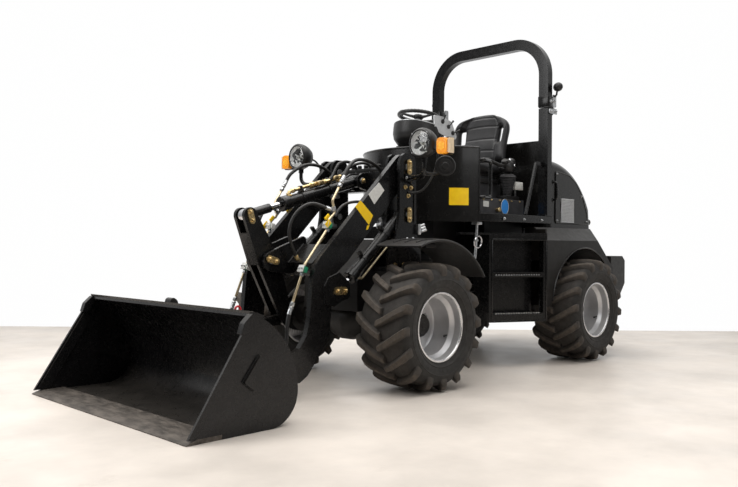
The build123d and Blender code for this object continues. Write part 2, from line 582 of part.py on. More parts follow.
# dash pillar with instrument bowl, steering column and wheel
dash = prism([(-538, DECK_Z[1]), (-470, DECK_Z[1]), (-470, 1440), (-560, 1575), (-700, 1575), (-538, 1484)], -110, 110)
BOWL = (-660.0, 175.0)          # instrument bowl: x of its axis, radius
bowl = Pos(BOWL[0], 0, 0) * revolve(Plane.XZ * make_face(Polyline(
    (0, 1560), (95, 1560), (140, 1580), (168, 1620), (BOWL[1], 1660), (172, 1700), (164, 1760), (0, 1760), close=True)), Axis.Z, 360)
bowl -= prism([(-400, 1763), (-900, 1654), (-900, 1900), (-400, 1900)], -250, 250)
dash += bowl
COLUMN = ((-657.0, 0.0, 1685.0), (-667.0, 0.0, 1752.0))
dash += rod(COLUMN[0], COLUMN[1], 22)
node("dash_console", dash)
ax = Vector(COLUMN[1][0] - COLUMN[0][0], 0, COLUMN[1][2] - COLUMN[0][2]).normalized()
hub_at = Vector(*COLUMN[1]) + ax * 4
wheel_plane = Plane(origin=hub_at, z_dir=ax)
SW_R = 140.0
sw = wheel_plane * Cylinder(36, 28, align=(Align.CENTER, Align.CENTER, Align.MIN))
sw += wheel_plane * (Pos(0, 0, 34) * Torus(SW_R, 14))
for a in (90, 210, 330):
    sw += wheel_plane * (Rot(0, 0, a) * (Pos(74, 0, 23) * Box(132, 26, 10)))
node("steering_wheel", sw)

# seat
plinth = box(-1500, -955, -350, 350, DECK_Z[1], 1208) - box(-1494, -961, -344, 344, DECK_Z[1] + 6, 1202)
node("seat_base", joined(plinth, box(-1400, -1040, -205, 205, 1208, 1330), box(-1360, -1060, -190, 190, 1330, 1390)))
node("seat_cushion", fillet(box(-1400, -960, -250, 250, 1392, 1500).edges(), 34))
back_pts = [(-1345, 1503), (-1420, 1503), (-1520 + 20, 1880), (-1470 + 20, 1905), (-1415, 1880)]
node("seat_back", prism(back_pts, -255, 255))
node("control_levers",
     joined(box(-1445, -1265, 262, 346, 1208, 1238), rod((-1352, 305, 1238), (-1342, 305, 1480), 12),
            Pos(-1341, 305, 1490) * Sphere(28)),
     joined(box(-1320, -1060, -346, -268, 1208, 1420), rod((-1100, -305, 1420), (-1085, -305, 1560), 13),
            Pos(-1083, -305, 1580) * Sphere(30)))

# roll-over hoop: lower posts on the wings, folding upper hoop
ROPS_X = (-1553.0, -1493.0)
ROPS_Y = (479.0, 559.0)
FOLD = (-1580.0, 1900.0)
post = box(*ROPS_X, *ROPS_Y, 968 + 120, 1893) - box(ROPS_X[0] + 6, ROPS_X[1] - 6, ROPS_Y[0] + 6, ROPS_Y[1] - 6, 1000, 1850)
foot = box(ROPS_X[0] - 20, ROPS_X[1] + 20, ROPS_Y[0], ROPS_Y[1] - 4, 1085, 1097)
post += foot
for y0, y1 in ((484, 500), (538, 554)):
    post += prism([(ROPS_X[0], 1840), (ROPS_X[0], 1893), (-1570, 1912), (-1592, 1912), (-1594, 1886), (-1575, 1850)], y0, y1, [(*FOLD, 8 + RUN)])
post += rod((-1398, 519, 1476), (-1262, 519, 1091), 14)
post += box(-1500, -1392, 509, 529, 1462, 1488)
node("rops_posts", both(post))
node("rops_hinge_pins", both(rod_y(*FOLD, 8, 480, 558)))
HOOP_TOP = 2448.0
BEND_OUT, BEND_IN = 300.0, 220.0      # hoop corner radii
foot_z, bend_z, bend_y = 1898.0, HOOP_TOP - BEND_OUT, ROPS_Y[1] - BEND_OUT
k45 = math.sqrt(0.5)


def corner_mid(side, r):
    return (side * (bend_y + r * k45), bend_z + r * k45)


face = make_face([
    Line((-ROPS_Y[1], foot_z), (-ROPS_Y[1], bend_z)),
    ThreePointArc((-ROPS_Y[1], bend_z), corner_mid(-1, BEND_OUT), (-bend_y, HOOP_TOP)),
    Line((-bend_y, HOOP_TOP), (bend_y, HOOP_TOP)),
    ThreePointArc((bend_y, HOOP_TOP), corner_mid(1, BEND_OUT), (ROPS_Y[1], bend_z)),
    Line((ROPS_Y[1], bend_z), (ROPS_Y[1], foot_z)), Line((ROPS_Y[1], foot_z), (ROPS_Y[0], foot_z)),
    Line((ROPS_Y[0], foot_z), (ROPS_Y[0], bend_z)),
    ThreePointArc((ROPS_Y[0], bend_z), corner_mid(1, BEND_IN), (bend_y, HOOP_TOP - 80)),
    Line((bend_y, HOOP_TOP - 80), (-bend_y, HOOP_TOP - 80)),
    ThreePointArc((-bend_y, HOOP_TOP - 80), corner_mid(-1, BEND_IN), (-ROPS_Y[0], bend_z)),
    Line((-ROPS_Y[0], bend_z), (-ROPS_Y[0], foot_z)), Line((-ROPS_Y[0], foot_z), (-ROPS_Y[1], foot_z))])
face = Plane(origin=(ROPS_X[0], 0, 0), x_dir=(0, 1, 0), z_dir=(1, 0, 0)) * face
hoop = extrude(face, amount=ROPS_X[1] - ROPS_X[0], dir=(1, 0, 0))
for s in (1, -1):
    a, b = sorted((s * 506, s * 532))
    hoop += prism([(ROPS_X[0], 1940), (ROPS_X[0], 1898), (-1566, 1886), (-1592, 1888), (-1594, 1912), (-1570, 1930)], a, b, [(*FOLD, 8 + RUN)])
node("rops_hoop", hoop)

for name, shape in NODES.items():
    export_step(shape, f"parts/{name}.step")
print(len(NODES), "nodes")
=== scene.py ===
import math
import random

import bmesh
import bpy
from mathutils import Matrix, Vector


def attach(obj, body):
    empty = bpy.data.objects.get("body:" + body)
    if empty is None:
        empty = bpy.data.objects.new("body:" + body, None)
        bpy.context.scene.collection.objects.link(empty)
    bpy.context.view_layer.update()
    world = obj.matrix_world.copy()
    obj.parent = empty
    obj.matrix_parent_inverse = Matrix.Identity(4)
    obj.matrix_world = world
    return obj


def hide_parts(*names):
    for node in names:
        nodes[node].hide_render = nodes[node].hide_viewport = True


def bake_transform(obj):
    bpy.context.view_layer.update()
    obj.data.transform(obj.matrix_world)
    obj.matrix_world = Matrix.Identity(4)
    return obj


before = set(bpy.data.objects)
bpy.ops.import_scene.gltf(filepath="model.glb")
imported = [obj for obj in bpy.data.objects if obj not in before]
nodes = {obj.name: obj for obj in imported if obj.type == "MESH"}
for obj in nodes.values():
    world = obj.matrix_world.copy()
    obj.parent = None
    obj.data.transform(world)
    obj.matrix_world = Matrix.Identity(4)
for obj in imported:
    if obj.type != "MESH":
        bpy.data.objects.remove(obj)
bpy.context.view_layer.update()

rng = random.Random(11)

# ------------------------------------------------------------------ places
# Lengths below are millimetres from the front axle's ground point, x forward,
# y to the machine's left, z up. P() gives the shared frame in metres.
AXLE = 398.0
REAR_X = -1850.0
PIN_BOOM, PIN_BUCKET, PIN_CRANK = (-137, 1360), (985, 160), (720, 772)
PIN_CRANK_TOP, PIN_CRANK_LOW, PIN_LINK = (850, 1031), (570, 420), (1005, 345)
PIN_TILT_BASE, PIN_LIFT_BASE, PIN_LIFT_ROD = (-40, 1283), (-140, 1057), (395, 592)


def P(x, y, z):
    return Vector(((x + AXLE) / 1000.0, y / 1000.0, z / 1000.0))


def V(x, y, z):
    return Vector((x, y, z))


# ------------------------------------------------------------------ materials
MATS = {}


def _link(nt, a, b):
    nt.links.new(a, b)


def finish(name, base, rough, metal=0.0, var=0.25, scale=14.0, rough_var=0.07, bump=0.03, bump_scale=260.0,
           dust=0.0, dust_colour=(0.26, 0.225, 0.185), dust_all=0.0, coat=0.0, spec=0.5, stretch=(1, 1, 1),
           wear=0.0, wear_colour=(0.2, 0.2, 0.2), wear_scale=60.0, transmission=0.0, ior=1.45, emit=0.0, attr=None,
           attr_colour=(0.16, 0.13, 0.1), attr_amount=0.8, sheen=0.0):
    """Painted, plated, moulded or rubber surface with its own grain, colour drift, dust on top faces and rubbed spots."""
    m = bpy.data.materials.new(name)
    m.use_nodes = True
    nt = m.node_tree
    nt.nodes.clear()
    new = nt.nodes.new
    out, b, tc = new("ShaderNodeOutputMaterial"), new("ShaderNodeBsdfPrincipled"), new("ShaderNodeTexCoord")
    _link(nt, b.outputs[0], out.inputs[0])
    b.inputs["Metallic"].default_value = metal
    b.inputs["IOR"].default_value = ior
    b.inputs["Specular IOR Level"].default_value = spec
    b.inputs["Coat Weight"].default_value = coat
    b.inputs["Coat Roughness"].default_value = 0.06
    b.inputs["Transmission Weight"].default_value = transmission
    b.inputs["Sheen Weight"].default_value = sheen
    place = tc.outputs["Object"]
    if stretch != (1, 1, 1):
        mp = new("ShaderNodeMapping")
        mp.inputs["Scale"].default_value = stretch
        _link(nt, place, mp.inputs["Vector"])
        place = mp.outputs[0]

    def noise(sc, detail=5.0, rough_=0.6):
        n = new("ShaderNodeTexNoise")
        n.inputs["Scale"].default_value = sc
        n.inputs["Detail"].default_value = detail
        n.inputs["Roughness"].default_value = rough_
        _link(nt, place, n.inputs["Vector"])
        return n.outputs["Fac"]

    def ranged(value, a0, a1, b0, b1):
        r = new("ShaderNodeMapRange")
        r.clamp = True
        for k, x in zip(("From Min", "From Max", "To Min", "To Max"), (a0, a1, b0, b1)):
            r.inputs[k].default_value = x
        _link(nt, value, r.inputs["Value"])
        return r.outputs[0]

    def ramp(value, stops):
        r = new("ShaderNodeValToRGB")
        el = r.color_ramp.elements
        while len(el) < len(stops):
            el.new(0.5)
        for e, (pos, col) in zip(el, stops):
            e.position = pos
            e.color = (*col, 1)
        _link(nt, value, r.inputs["Fac"])
        return r.outputs["Color"]

    def mixed(fac, c0, colour):
        r = new("ShaderNodeMix")
        r.data_type = "RGBA"
        _link(nt, fac, r.inputs["Factor"])
        _link(nt, c0, r.inputs[6])
        r.inputs[7].default_value = (*colour, 1)
        return r.outputs[2]

    def op(kind, a, c):
        r = new("ShaderNodeMath")
        r.operation = kind
        for k, x in enumerate((a, c)):
            if isinstance(x, (int, float)):
                r.inputs[k].default_value = x
            else:
                _link(nt, x, r.inputs[k])
        return r.outputs[0]

    lo = tuple(max(0.0, c * (1 - var)) for c in base)
    hi = tuple(min(1.0, c * (1 + var)) for c in base)
    colour = ramp(noise(scale), [(0.36, lo), (0.64, hi)])
    roughness = ranged(noise(scale * 2.3), 0.3, 0.7, max(0.02, rough - rough_var), min(1.0, rough + rough_var))
    if wear:
        worn = ranged(noise(wear_scale, 8.0, 0.72), 0.62, 0.74, 0.0, wear)
        colour = mixed(worn, colour, wear_colour)
        roughness = op("ADD", roughness, op("MULTIPLY", worn, 0.2))
    if attr:
        at = new("ShaderNodeAttribute")
        at.attribute_name = attr
        patch = op("MULTIPLY", at.outputs["Fac"], ranged(noise(38.0, 6.0), 0.3, 0.62, attr_amount * 0.35, attr_amount))
        colour = mixed(patch, colour, attr_colour)
        roughness = op("ADD", roughness, op("MULTIPLY", patch, 0.15))
    if dust or dust_all:
        sep = new("ShaderNodeSeparateXYZ")
        _link(nt, tc.outputs["Normal"], sep.inputs[0])
        up = ranged(sep.outputs["Z"], 0.25, 0.98, dust_all, dust + dust_all)
        up = op("MULTIPLY", up, ranged(noise(9.0, 7.0, 0.7), 0.28, 0.7, 0.35, 1.0))
        colour = mixed(up, colour, dust_colour)
        roughness = op("ADD", roughness, op("MULTIPLY", up, 0.5))
    _link(nt, colour, b.inputs["Base Color"])
    _link(nt, roughness, b.inputs["Roughness"])
    if bump:
        bp = new("ShaderNodeBump")
        bp.inputs["Strength"].default_value = bump
        bp.inputs["Distance"].default_value = 0.002
        _link(nt, noise(bump_scale, 3.0), bp.inputs["Height"])
        _link(nt, bp.outputs[0], b.inputs["Normal"])
    if emit:
        _link(nt, colour, b.inputs["Emission Color"])
        b.inputs["Emission Strength"].default_value = emit
    m.diffuse_color = (*base, 1)
    MATS[name] = m
    return m


BLACK = (0.0045, 0.0045, 0.0048)
M_PAINT = finish("paint_black", BLACK, 0.26, rough_var=0.05, bump=0.01, bump_scale=120, dust=0.06, dust_all=0.004, coat=0.12, spec=0.38)
M_PANEL = finish("panel_black", (0.006, 0.0058, 0.0056), 0.24, rough_var=0.05, bump=0.01, bump_scale=70, dust=0.05, dust_all=0.006, coat=0.15, spec=0.36)
M_STRUCT = finish("chassis_black", (0.006, 0.006, 0.0063), 0.38, rough_var=0.09, bump=0.04, bump_scale=120, dust=0.16, dust_all=0.012, spec=0.4)
M_BUCKET = finish("bucket_black", (0.0055, 0.0055, 0.0062), 0.27, rough_var=0.07, bump=0.03, bump_scale=90, dust=0.14, dust_all=0.008, spec=0.42,
                  wear=0.3, wear_colour=(0.04, 0.037, 0.034), wear_scale=22)
M_EDGE = finish("worn_edge", (0.105, 0.09, 0.076), 0.55, metal=0.35, var=0.45, scale=26, rough_var=0.14, bump=0.22, bump_scale=70,
                wear=0.6, wear_colour=(0.24, 0.215, 0.19), wear_scale=34, stretch=(1, 0.35, 1))
M_CHROME = finish("chrome_rod", (0.66, 0.66, 0.68), 0.1, metal=1.0, var=0.06, rough_var=0.04, bump=0.006, bump_scale=500)
M_GOLD = finish("gold_zinc", (0.66, 0.50, 0.25), 0.3, metal=1.0, var=0.22, scale=40, rough_var=0.1, bump=0.05, bump_scale=420)
M_ZINC = finish("zinc_steel", (0.56, 0.57, 0.58), 0.34, metal=1.0, var=0.2, scale=60, rough_var=0.1, bump=0.06, bump_scale=320)
M_PIPE = finish("pipe_cream", (0.66, 0.55, 0.36), 0.32, metal=0.85, var=0.15, scale=50, rough_var=0.08, bump=0.03, bump_scale=400)
M_RIM = finish("rim_silver", (0.62, 0.62, 0.63), 0.36, metal=0.55, var=0.08, scale=9, rough_var=0.06, bump=0.05, bump_scale=240, dust=0.1, dust_all=0.03)
# outer rim lip: the rim's own silver made lighter and shinier, a painted highlight
M_RIM_LIP_HIGHLIGHT = finish("rim_lip_painted_highlight", (0.74, 0.74, 0.75), 0.24, metal=0.8, var=0.06, scale=14, rough_var=0.06, bump=0.03, bump_scale=240)
M_TYRE = finish("tyre_rubber", (0.020, 0.019, 0.018), 0.72, var=0.3, scale=20, rough_var=0.1, bump=0.18, bump_scale=190,
                dust=0.05, dust_all=0.035, dust_colour=(0.15, 0.125, 0.1), attr="tread", attr_colour=(0.125, 0.1, 0.078), attr_amount=0.62)
M_CAST = finish("cast_black", (0.010, 0.0096, 0.0092), 0.46, rough_var=0.1, bump=0.2, bump_scale=120, dust=0.18, dust_all=0.022, dust_colour=(0.2, 0.165, 0.13))
M_PLASTIC = finish("matte_plastic", (0.009, 0.009, 0.0095), 0.42, rough_var=0.06, bump=0.12, bump_scale=700, dust=0.07, dust_all=0.012)
M_GREY = finish("grey_box", (0.045, 0.046, 0.05), 0.5, rough_var=0.06, bump=0.1, bump_scale=500, dust=0.1, dust_all=0.02)
M_VINYL = finish("vinyl", (0.016, 0.016, 0.0175), 0.38, var=0.2, rough_var=0.07, bump=0.2, bump_scale=520, dust=0.05, dust_all=0.01)
M_HOSE = finish("hose_rubber", (0.012, 0.012, 0.0125), 0.4, var=0.3, rough_var=0.08, bump=0.16, bump_scale=900, dust=0.12, dust_all=0.015)
M_AMBER = finish("amber_lens", (0.95, 0.33, 0.012), 0.14, var=0.12, scale=60, rough_var=0.04, bump=0.1, bump_scale=230, spec=0.6, emit=0.14)
# amber core with an emission glow; on the gauge needles, which are no lamps, this glow is painted light
M_ORANGE = finish("amber_core", (1.0, 0.5, 0.05), 0.3, var=0.25, scale=90, rough_var=0.1, bump=0.4, bump_scale=160, emit=0.25)
M_CREAM = finish("cream_plastic", (0.72, 0.58, 0.40), 0.36, var=0.1, scale=40, bump=0.05, bump_scale=400)
M_MIRROR = finish("reflector", (0.86, 0.86, 0.85), 0.12, metal=1.0, var=0.05, scale=70, rough_var=0.05, bump=0.02, bump_scale=300)
M_LENS = finish("lamp_glass", (0.97, 0.98, 0.98), 0.03, var=0.01, rough_var=0.01, bump=0.05, bump_scale=160, transmission=1.0)
M_GREEN = finish("clamp_green", (0.01, 0.21, 0.105), 0.4, var=0.15, scale=60, bump=0.06, bump_scale=420)
M_WHITE = finish("white_plastic", (0.68, 0.68, 0.65), 0.42, var=0.08, scale=60, bump=0.05, bump_scale=420, dust=0.1)
M_RED = finish("red_paint", (0.55, 0.018, 0.03), 0.3, var=0.15, scale=60, bump=0.04, bump_scale=300)
M_REDLENS = finish("red_lens", (0.42, 0.01, 0.012), 0.15, var=0.2, scale=120, bump=0.2, bump_scale=260)
M_YELLOW = finish("plate_yellow", (1.0, 0.62, 0.004), 0.34, var=0.06, scale=30, bump=0.02, bump_scale=200, dust_all=0.015)
M_BLUE = finish("plate_blue", (0.05, 0.30, 0.82), 0.34, var=0.08, scale=30, bump=0.02, bump_scale=200)
# silver finish; on the dash top it stands for a painted reflection of the bright room on black plastic
M_SILVER_AND_REFLECTION = finish("silver_and_painted_reflection", (0.70, 0.71, 0.72), 0.32, metal=0.6, var=0.06, scale=30, rough_var=0.05, bump=0.02, bump_scale=160)
# rear wing paint: black with a warm brown tint in the base colour, a painted reflection of the floor
M_WING_WARM_REFLECTION = finish("wing_black_painted_floor_reflection", (0.0075, 0.0066, 0.0058), 0.4, rough_var=0.06, bump=0.012, bump_scale=70, dust=0.03, dust_all=0.006, spec=0.24)
M_GUARD = finish("mesh_grey", (0.17, 0.17, 0.172), 0.42, metal=0.5, var=0.2, scale=50, bump=0.05, bump_scale=300, dust=0.1)
M_ENGINE = finish("engine_grey", (0.05, 0.052, 0.055), 0.5, metal=0.3, var=0.35, scale=20, rough_var=0.12, bump=0.25, bump_scale=90, dust=0.25)
M_WELD = finish("weld_bead", (0.010, 0.010, 0.0105), 0.34, rough_var=0.1, bump=0.25, bump_scale=300, dust=0.1)
M_RUBMAT = finish("rubber_mat", (0.014, 0.014, 0.014), 0.7, rough_var=0.1, bump=0.3, bump_scale=400, dust=0.35)


# ------------------------------------------------------------------ CAD pieces keep their shape: broken edges and finish
def dress(name, mat, bevel=2.5, seg=2, angle=28, dissolve=True, extra=None):
    o = nodes[name]
    me = o.data
    me.materials.clear()
    me.materials.append(mat)
    for m in extra or ():
        me.materials.append(m)
    if "custom_normal" in me.attributes:
        me.attributes.remove(me.attributes["custom_normal"])
    me.polygons.foreach_set("use_smooth", [True] * len(me.polygons))
    w = o.modifiers.new("join", "WELD")
    w.merge_threshold = 0.00004
    if dissolve:
        d = o.modifiers.new("flat", "DECIMATE")
        d.decimate_type = "DISSOLVE"
        d.angle_limit = math.radians(0.35)
        d.delimit = {"MATERIAL"}
    if bevel:
        b = o.modifiers.new("edges", "BEVEL")
        b.limit_method = "ANGLE"
        b.angle_limit = math.radians(angle)
        b.width = bevel / 1000.0
        b.segments = seg
        b.harden_normals = False
        b.miter_outer = "MITER_ARC" if seg > 2 else "MITER_SHARP"
    n = o.modifiers.new("normals", "WEIGHTED_NORMAL")
    n.weight = 50
    n.keep_sharp = False
    return o


for n in ("front_chassis", "rear_chassis"):
    dress(n, M_STRUCT, 2.0)
for n in ("loader_tower", "boom_arms", "boom_crossbeam", "bellcrank", "tilt_link", "quick_hitch", "tower_beams", "step_boxes"):
    dress(n, M_PAINT, 2.2)
dress("hydraulic_tank", M_STRUCT, 4.0)
dress("tub_panel", M_PANEL, 2.0)
dress("deck", M_PAINT, 3.0)
dress("front_fenders", M_PLASTIC, 4.0, 3)
dress("rear_wings", M_WING_WARM_REFLECTION, 14.0, 4)
dress("engine_hood", M_PANEL, 4.0, 3)
dress("counterweight", M_CAST, 9.0, 3)
dress("rops_posts", M_PAINT, 5.0, 3)
dress("rops_hoop", M_PAINT, 8.0, 3)
dress("seat_base", M_GREY, 4.0, 2)
dress("engine_block", M_ENGINE, 8.0, 2)
dress("bucket_shell", M_BUCKET, 2.5, 2)
dress("cutting_edge", M_EDGE, 1.6, 2)
for n in ("lift_barrels", "tilt_barrel", "steer_barrel"):
    dress(n, M_PAINT, 2.0)
for n in ("lift_rods", "tilt_rod", "steer_rod"):
    dress(n, M_CHROME, 1.5)
for n in ("front_axle", "rear_axle"):
    dress(n, M_CAST, 4.0)
for n in ("tower_pins", "bellcrank_pin", "link_pin", "bucket_pins", "articulation_pins", "tow_pin", "rops_hinge_pins"):
    dress(n, M_ZINC, 1.5)
dress("boom_pipes", M_PIPE, 0)

for name, x, side in (("front_left", 0, 1), ("front_right", 0, -1), ("rear_left", REAR_X, 1), ("rear_right", REAR_X, -1)):
    o = dress(name + "_rim", M_RIM, 2.0, 2, angle=24, extra=(M_CAST, M_RIM_LIP_HIGHLIGHT))
    c = P(x, side * 605, 383)
    for p in o.data.polygons:
        q = p.center - c
        r, off = math.hypot(q.x, q.z) * 1000, q.y * side * 1000
        if r < 71.5 or (r < 119 and off < -47):
            p.material_index = 1
        # index 2: the outer lip takes the lighter lip finish, a painted highlight
        elif r > 195 and off > 150:
            p.material_index = 2


# ------------------------------------------------------------------ building pieces
class Piece:
    """Geometry of one finish, collected in the shared frame (metres)."""

    def __init__(self, name, mat):
        self.name, self.mat, self.v, self.f, self.tag = name, mat, [], [], []

    def add(self, verts, faces, tag=0.0):
        o = len(self.v)
        self.v += [tuple(v) for v in verts]
        self.f += [[i + o for i in f] for f in faces]
        self.tag += [tag] * len(verts)
        return self

    def lathe(self, profile, origin, axis, segs=32, ref=None, closed=False, jitter=0.0):
        """Profile of (radius mm, height mm) turned about axis at origin."""
        ax = Vector(axis).normalized()
        if ref is None:
            ref = V(0, 0, 1) if abs(ax.z) < 0.9 else V(1, 0, 0)
        u = (ref - ax * ref.dot(ax)).normalized()
        w = ax.cross(u)
        rings, verts, faces = [], [], []
        for r, h in profile:
            base = origin + ax * (h / 1000.0)
            if r <= 1e-6:
                verts.append(base)
                rings.append([len(verts) - 1] * segs)
                continue
            ring = []
            for k in range(segs):
                a = 2 * math.pi * k / segs
                rr = r / 1000.0 * (1 + (rng.uniform(-jitter, jitter) if jitter else 0))
                verts.append(base + (u * math.cos(a) + w * math.sin(a)) * rr)
                ring.append(len(verts) - 1)
            rings.append(ring)
        n = len(rings)
        for i in range(n if closed else n - 1):
            a, b = rings[i], rings[(i + 1) % n]
            for k in range(segs):
                q = [a[k], a[(k + 1) % segs], b[(k + 1) % segs], b[k]]
                q = [x for j, x in enumerate(q) if x not in q[:j]]
                if len(q) > 2:
                    faces.append(q)
        if not closed:
            for ring in (rings[0], rings[-1]):
                if len(set(ring)) > 2:
                    faces.append(list(ring))
        return self.add(verts, faces)

    def tube(self, pts, r, segs=10, closed=False, radii=None, cap=True):
        """Round section of radius r mm swept along points (metres)."""
        pts = [Vector(p) for p in pts]
        n = len(pts)
        tang = []
        for i in range(n):
            a = pts[i - 1] if (i or closed) else pts[0]
            b = pts[(i + 1) % n] if (i < n - 1 or closed) else pts[-1]
            tang.append((b - a).normalized())
        ref = V(0, 0, 1) if abs(tang[0].z) < 0.9 else V(1, 0, 0)
        u = (ref - tang[0] * ref.dot(tang[0])).normalized()
        verts, faces = [], []
        for i in range(n):
            if i:
                u = (u - tang[i] * u.dot(tang[i])).normalized()
            w = tang[i].cross(u)
            rr = (radii[i] if radii else r) / 1000.0
            for k in range(segs):
                a = 2 * math.pi * k / segs
                verts.append(pts[i] + (u * math.cos(a) + w * math.sin(a)) * rr)
        for i in range(n if closed else n - 1):
            j = (i + 1) % n
            for k in range(segs):
                l = (k + 1) % segs
                faces.append([i * segs + k, i * segs + l, j * segs + l, j * segs + k])
        if cap and not closed:
            faces.append(list(range(segs)))
            faces.append([(n - 1) * segs + k for k in range(segs)])
        return self.add(verts, faces)

    def slab(self, pts, normal, depth, bevel=0.0, seg=2):
        """Flat outline of 3-D points (metres), thickened by depth mm along normal, edges rounded by bevel mm."""
        nrm = Vector(normal).normalized() * (depth / 1000.0)
        bm = bmesh.new()
        a = [bm.verts.new(p) for p in pts]
        b = [bm.verts.new(Vector(p) + nrm) for p in pts]
        bm.faces.new(a)
        bm.faces.new(b[::-1])
        k = len(pts)
        for i in range(k):
            j = (i + 1) % k
            bm.faces.new([a[i], b[i], b[j], a[j]])
        if bevel:
            bmesh.ops.bevel(bm, geom=[e for e in bm.edges if e.calc_face_angle(0) > 0.35], offset=bevel / 1000.0, segments=seg,
                            profile=0.5, affect="EDGES", clamp_overlap=True)
        self._take(bm)
        return self

    def box(self, lo, hi, bevel=1.5, seg=2, matrix=None):
        """Box between two mm corners, or a box turned by matrix about the origin before it is placed."""
        x0, y0, z0 = lo
        x1, y1, z1 = hi
        bm = bmesh.new()
        co = [(x0, y0, z0), (x1, y0, z0), (x1, y1, z0), (x0, y1, z0), (x0, y0, z1), (x1, y0, z1), (x1, y1, z1), (x0, y1, z1)]
        vs = [bm.verts.new((matrix @ Vector(c) / 1.0) if matrix else P(*c)) for c in co]
        for f in ((0, 3, 2, 1), (4, 5, 6, 7), (0, 1, 5, 4), (1, 2, 6, 5), (2, 3, 7, 6), (3, 0, 4, 7)):
            bm.faces.new([vs[i] for i in f])
        if bevel:
            bmesh.ops.bevel(bm, geom=list(bm.edges), offset=bevel / 1000.0, segments=seg, profile=0.5, affect="EDGES", clamp_overlap=True)
        self._take(bm)
        return self

    def _take(self, bm):
        bm.verts.index_update()
        self.add([v.co.copy() for v in bm.verts], [[v.index for v in f.verts] for f in bm.faces])
        bm.free()

    def bolt(self, at, normal, af=18.0, h=11.0, washer=True):
        """Hex head with chamfer on a washer; at is in metres, sizes in mm."""
        n = Vector(normal).normalized()
        r = af / math.sqrt(3)
        base = Vector(at)
        if washer:
            self.lathe([(0, -1), (af * 0.72, -1), (af * 0.76, 0), (af * 0.76, 2), (af * 0.7, 2.6), (0, 2.6)], base, n, 18)
            base = base + n * 0.0026
        self.lathe([(0, -0.5), (r, -0.5), (r, h * 0.72), (r * 0.97, h * 0.82), (r * 0.8, h), (0, h)], base, n, 6)
        self.lathe([(0, h * 0.9), (af * 0.36, h * 0.9), (af * 0.36, h + 2.2), (af * 0.28, h + 3.2), (0, h + 3.2)], base, n, 12)
        return self

    def weld(self, pts, r=3.4, step=3.2):
        """Rippled bead along points (metres)."""
        pts = [Vector(p) for p in pts]
        fine = []
        for a, b in zip(pts, pts[1:]):
            k = max(2, int((b - a).length * 1000 / step))
            fine += [a.lerp(b, i / k) for i in range(k)]
        fine.append(pts[-1])
        radii = [r * (0.84 + 0.2 * (i % 2) + rng.uniform(-0.06, 0.06)) for i in range(len(fine))]
        return self.tube(fine, r, 6, radii=radii)

    def done(self, body=None, slot=None, angle=32, smooth=True, attr=None):
        me = bpy.data.meshes.new(self.name)
        me.from_pydata(self.v, [], self.f)
        bm = bmesh.new()
        bm.from_mesh(me)
        bmesh.ops.recalc_face_normals(bm, faces=list(bm.faces))
        bm.to_mesh(me)
        bm.free()
        me.polygons.foreach_set("use_smooth", [smooth] * len(me.polygons))
        if smooth:
            me.set_sharp_from_angle(angle=math.radians(angle))
        me.materials.append(self.mat)
        if attr:
            a = me.attributes.new(attr, "FLOAT", "POINT")
            a.data.foreach_set("value", self.tag)
        me.update()
        o = bpy.data.objects.new(self.name, me)
        bpy.context.scene.collection.objects.link(o)
        if body:
            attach(o, body)
        return o


def arc(c, r, a0, a1, n=12):
    """Points (u, v) on a circle, degrees."""
    return [(c[0] + r * math.cos(math.radians(a0 + (a1 - a0) * k / n)), c[1] + r * math.sin(math.radians(a0 + (a1 - a0) * k / n)))
            for k in range(n + 1)]


def rounded(pts, r, n=5):
    """Polygon (u, v) with its corners rounded by r."""
    out = []
    k = len(pts)
    for i in range(k):
        p, a, b = Vector(pts[i]), Vector(pts[i - 1]), Vector(pts[(i + 1) % k])
        da, db = (a - p), (b - p)
        t = min(r, da.length * 0.48, db.length * 0.48)
        s, e = p + da.normalized() * t, p + db.normalized() * t
        for j in range(n + 1):
            f = j / n
            out.append(tuple((s * (1 - f) ** 2) + (p * 2 * f * (1 - f)) + (e * f ** 2)))
    return out


def smooth_line(pts, n=10):
    """Catmull-Rom points through a route of vectors."""
    pts = [Vector(p) for p in pts]
    q = [pts[0] * 2 - pts[1]] + pts + [pts[-1] * 2 - pts[-2]]
    out = []
    for i in range(1, len(q) - 2):
        a, b, c, d = q[i - 1], q[i], q[i + 1], q[i + 2]
        for k in range(n):
            t = k / n
            out.append(0.5 * ((2 * b) + (c - a) * t + (2 * a - 5 * b + 4 * c - d) * t * t + (3 * b - a - 3 * c + d) * t ** 3))
    out.append(pts[-1])
    return out


def xz(pts, y):
    """Outline (x, z) in mm on the plane y."""
    return [P(a, y, b) for a, b in pts]


# ------------------------------------------------------------------ tyres
HALF = [(0, 354), (60, 353.5), (110, 351), (145, 346), (166, 337), (178, 325), (185, 312), (189.5, 298), (191.3, 286),
        (193.6, 284), (193.8, 280), (191.6, 278), (191, 264), (188, 250), (183, 238), (184.4, 236), (184, 232), (180, 229.5),
        (173, 219), (170, 214), (171, 212.5), (168, 210), (160, 208.6), (154, 207.8), (148, 204), (146, 200)]
LUG_TOP = [(-14, 378), (-8, 382), (40, 383), (100, 381.5), (150, 377), (176, 371), (188, 361), (195, 343), (195.2, 322), (192, 307), (187, 298)]
LUG_BASE = [(-14, 350), (-8, 350), (40, 350), (100, 348), (150, 340), (168, 328), (178, 316), (183, 306), (185.5, 300), (185, 296), (182, 292)]
LUG_N = 16
LUG_LEAD = 0.285


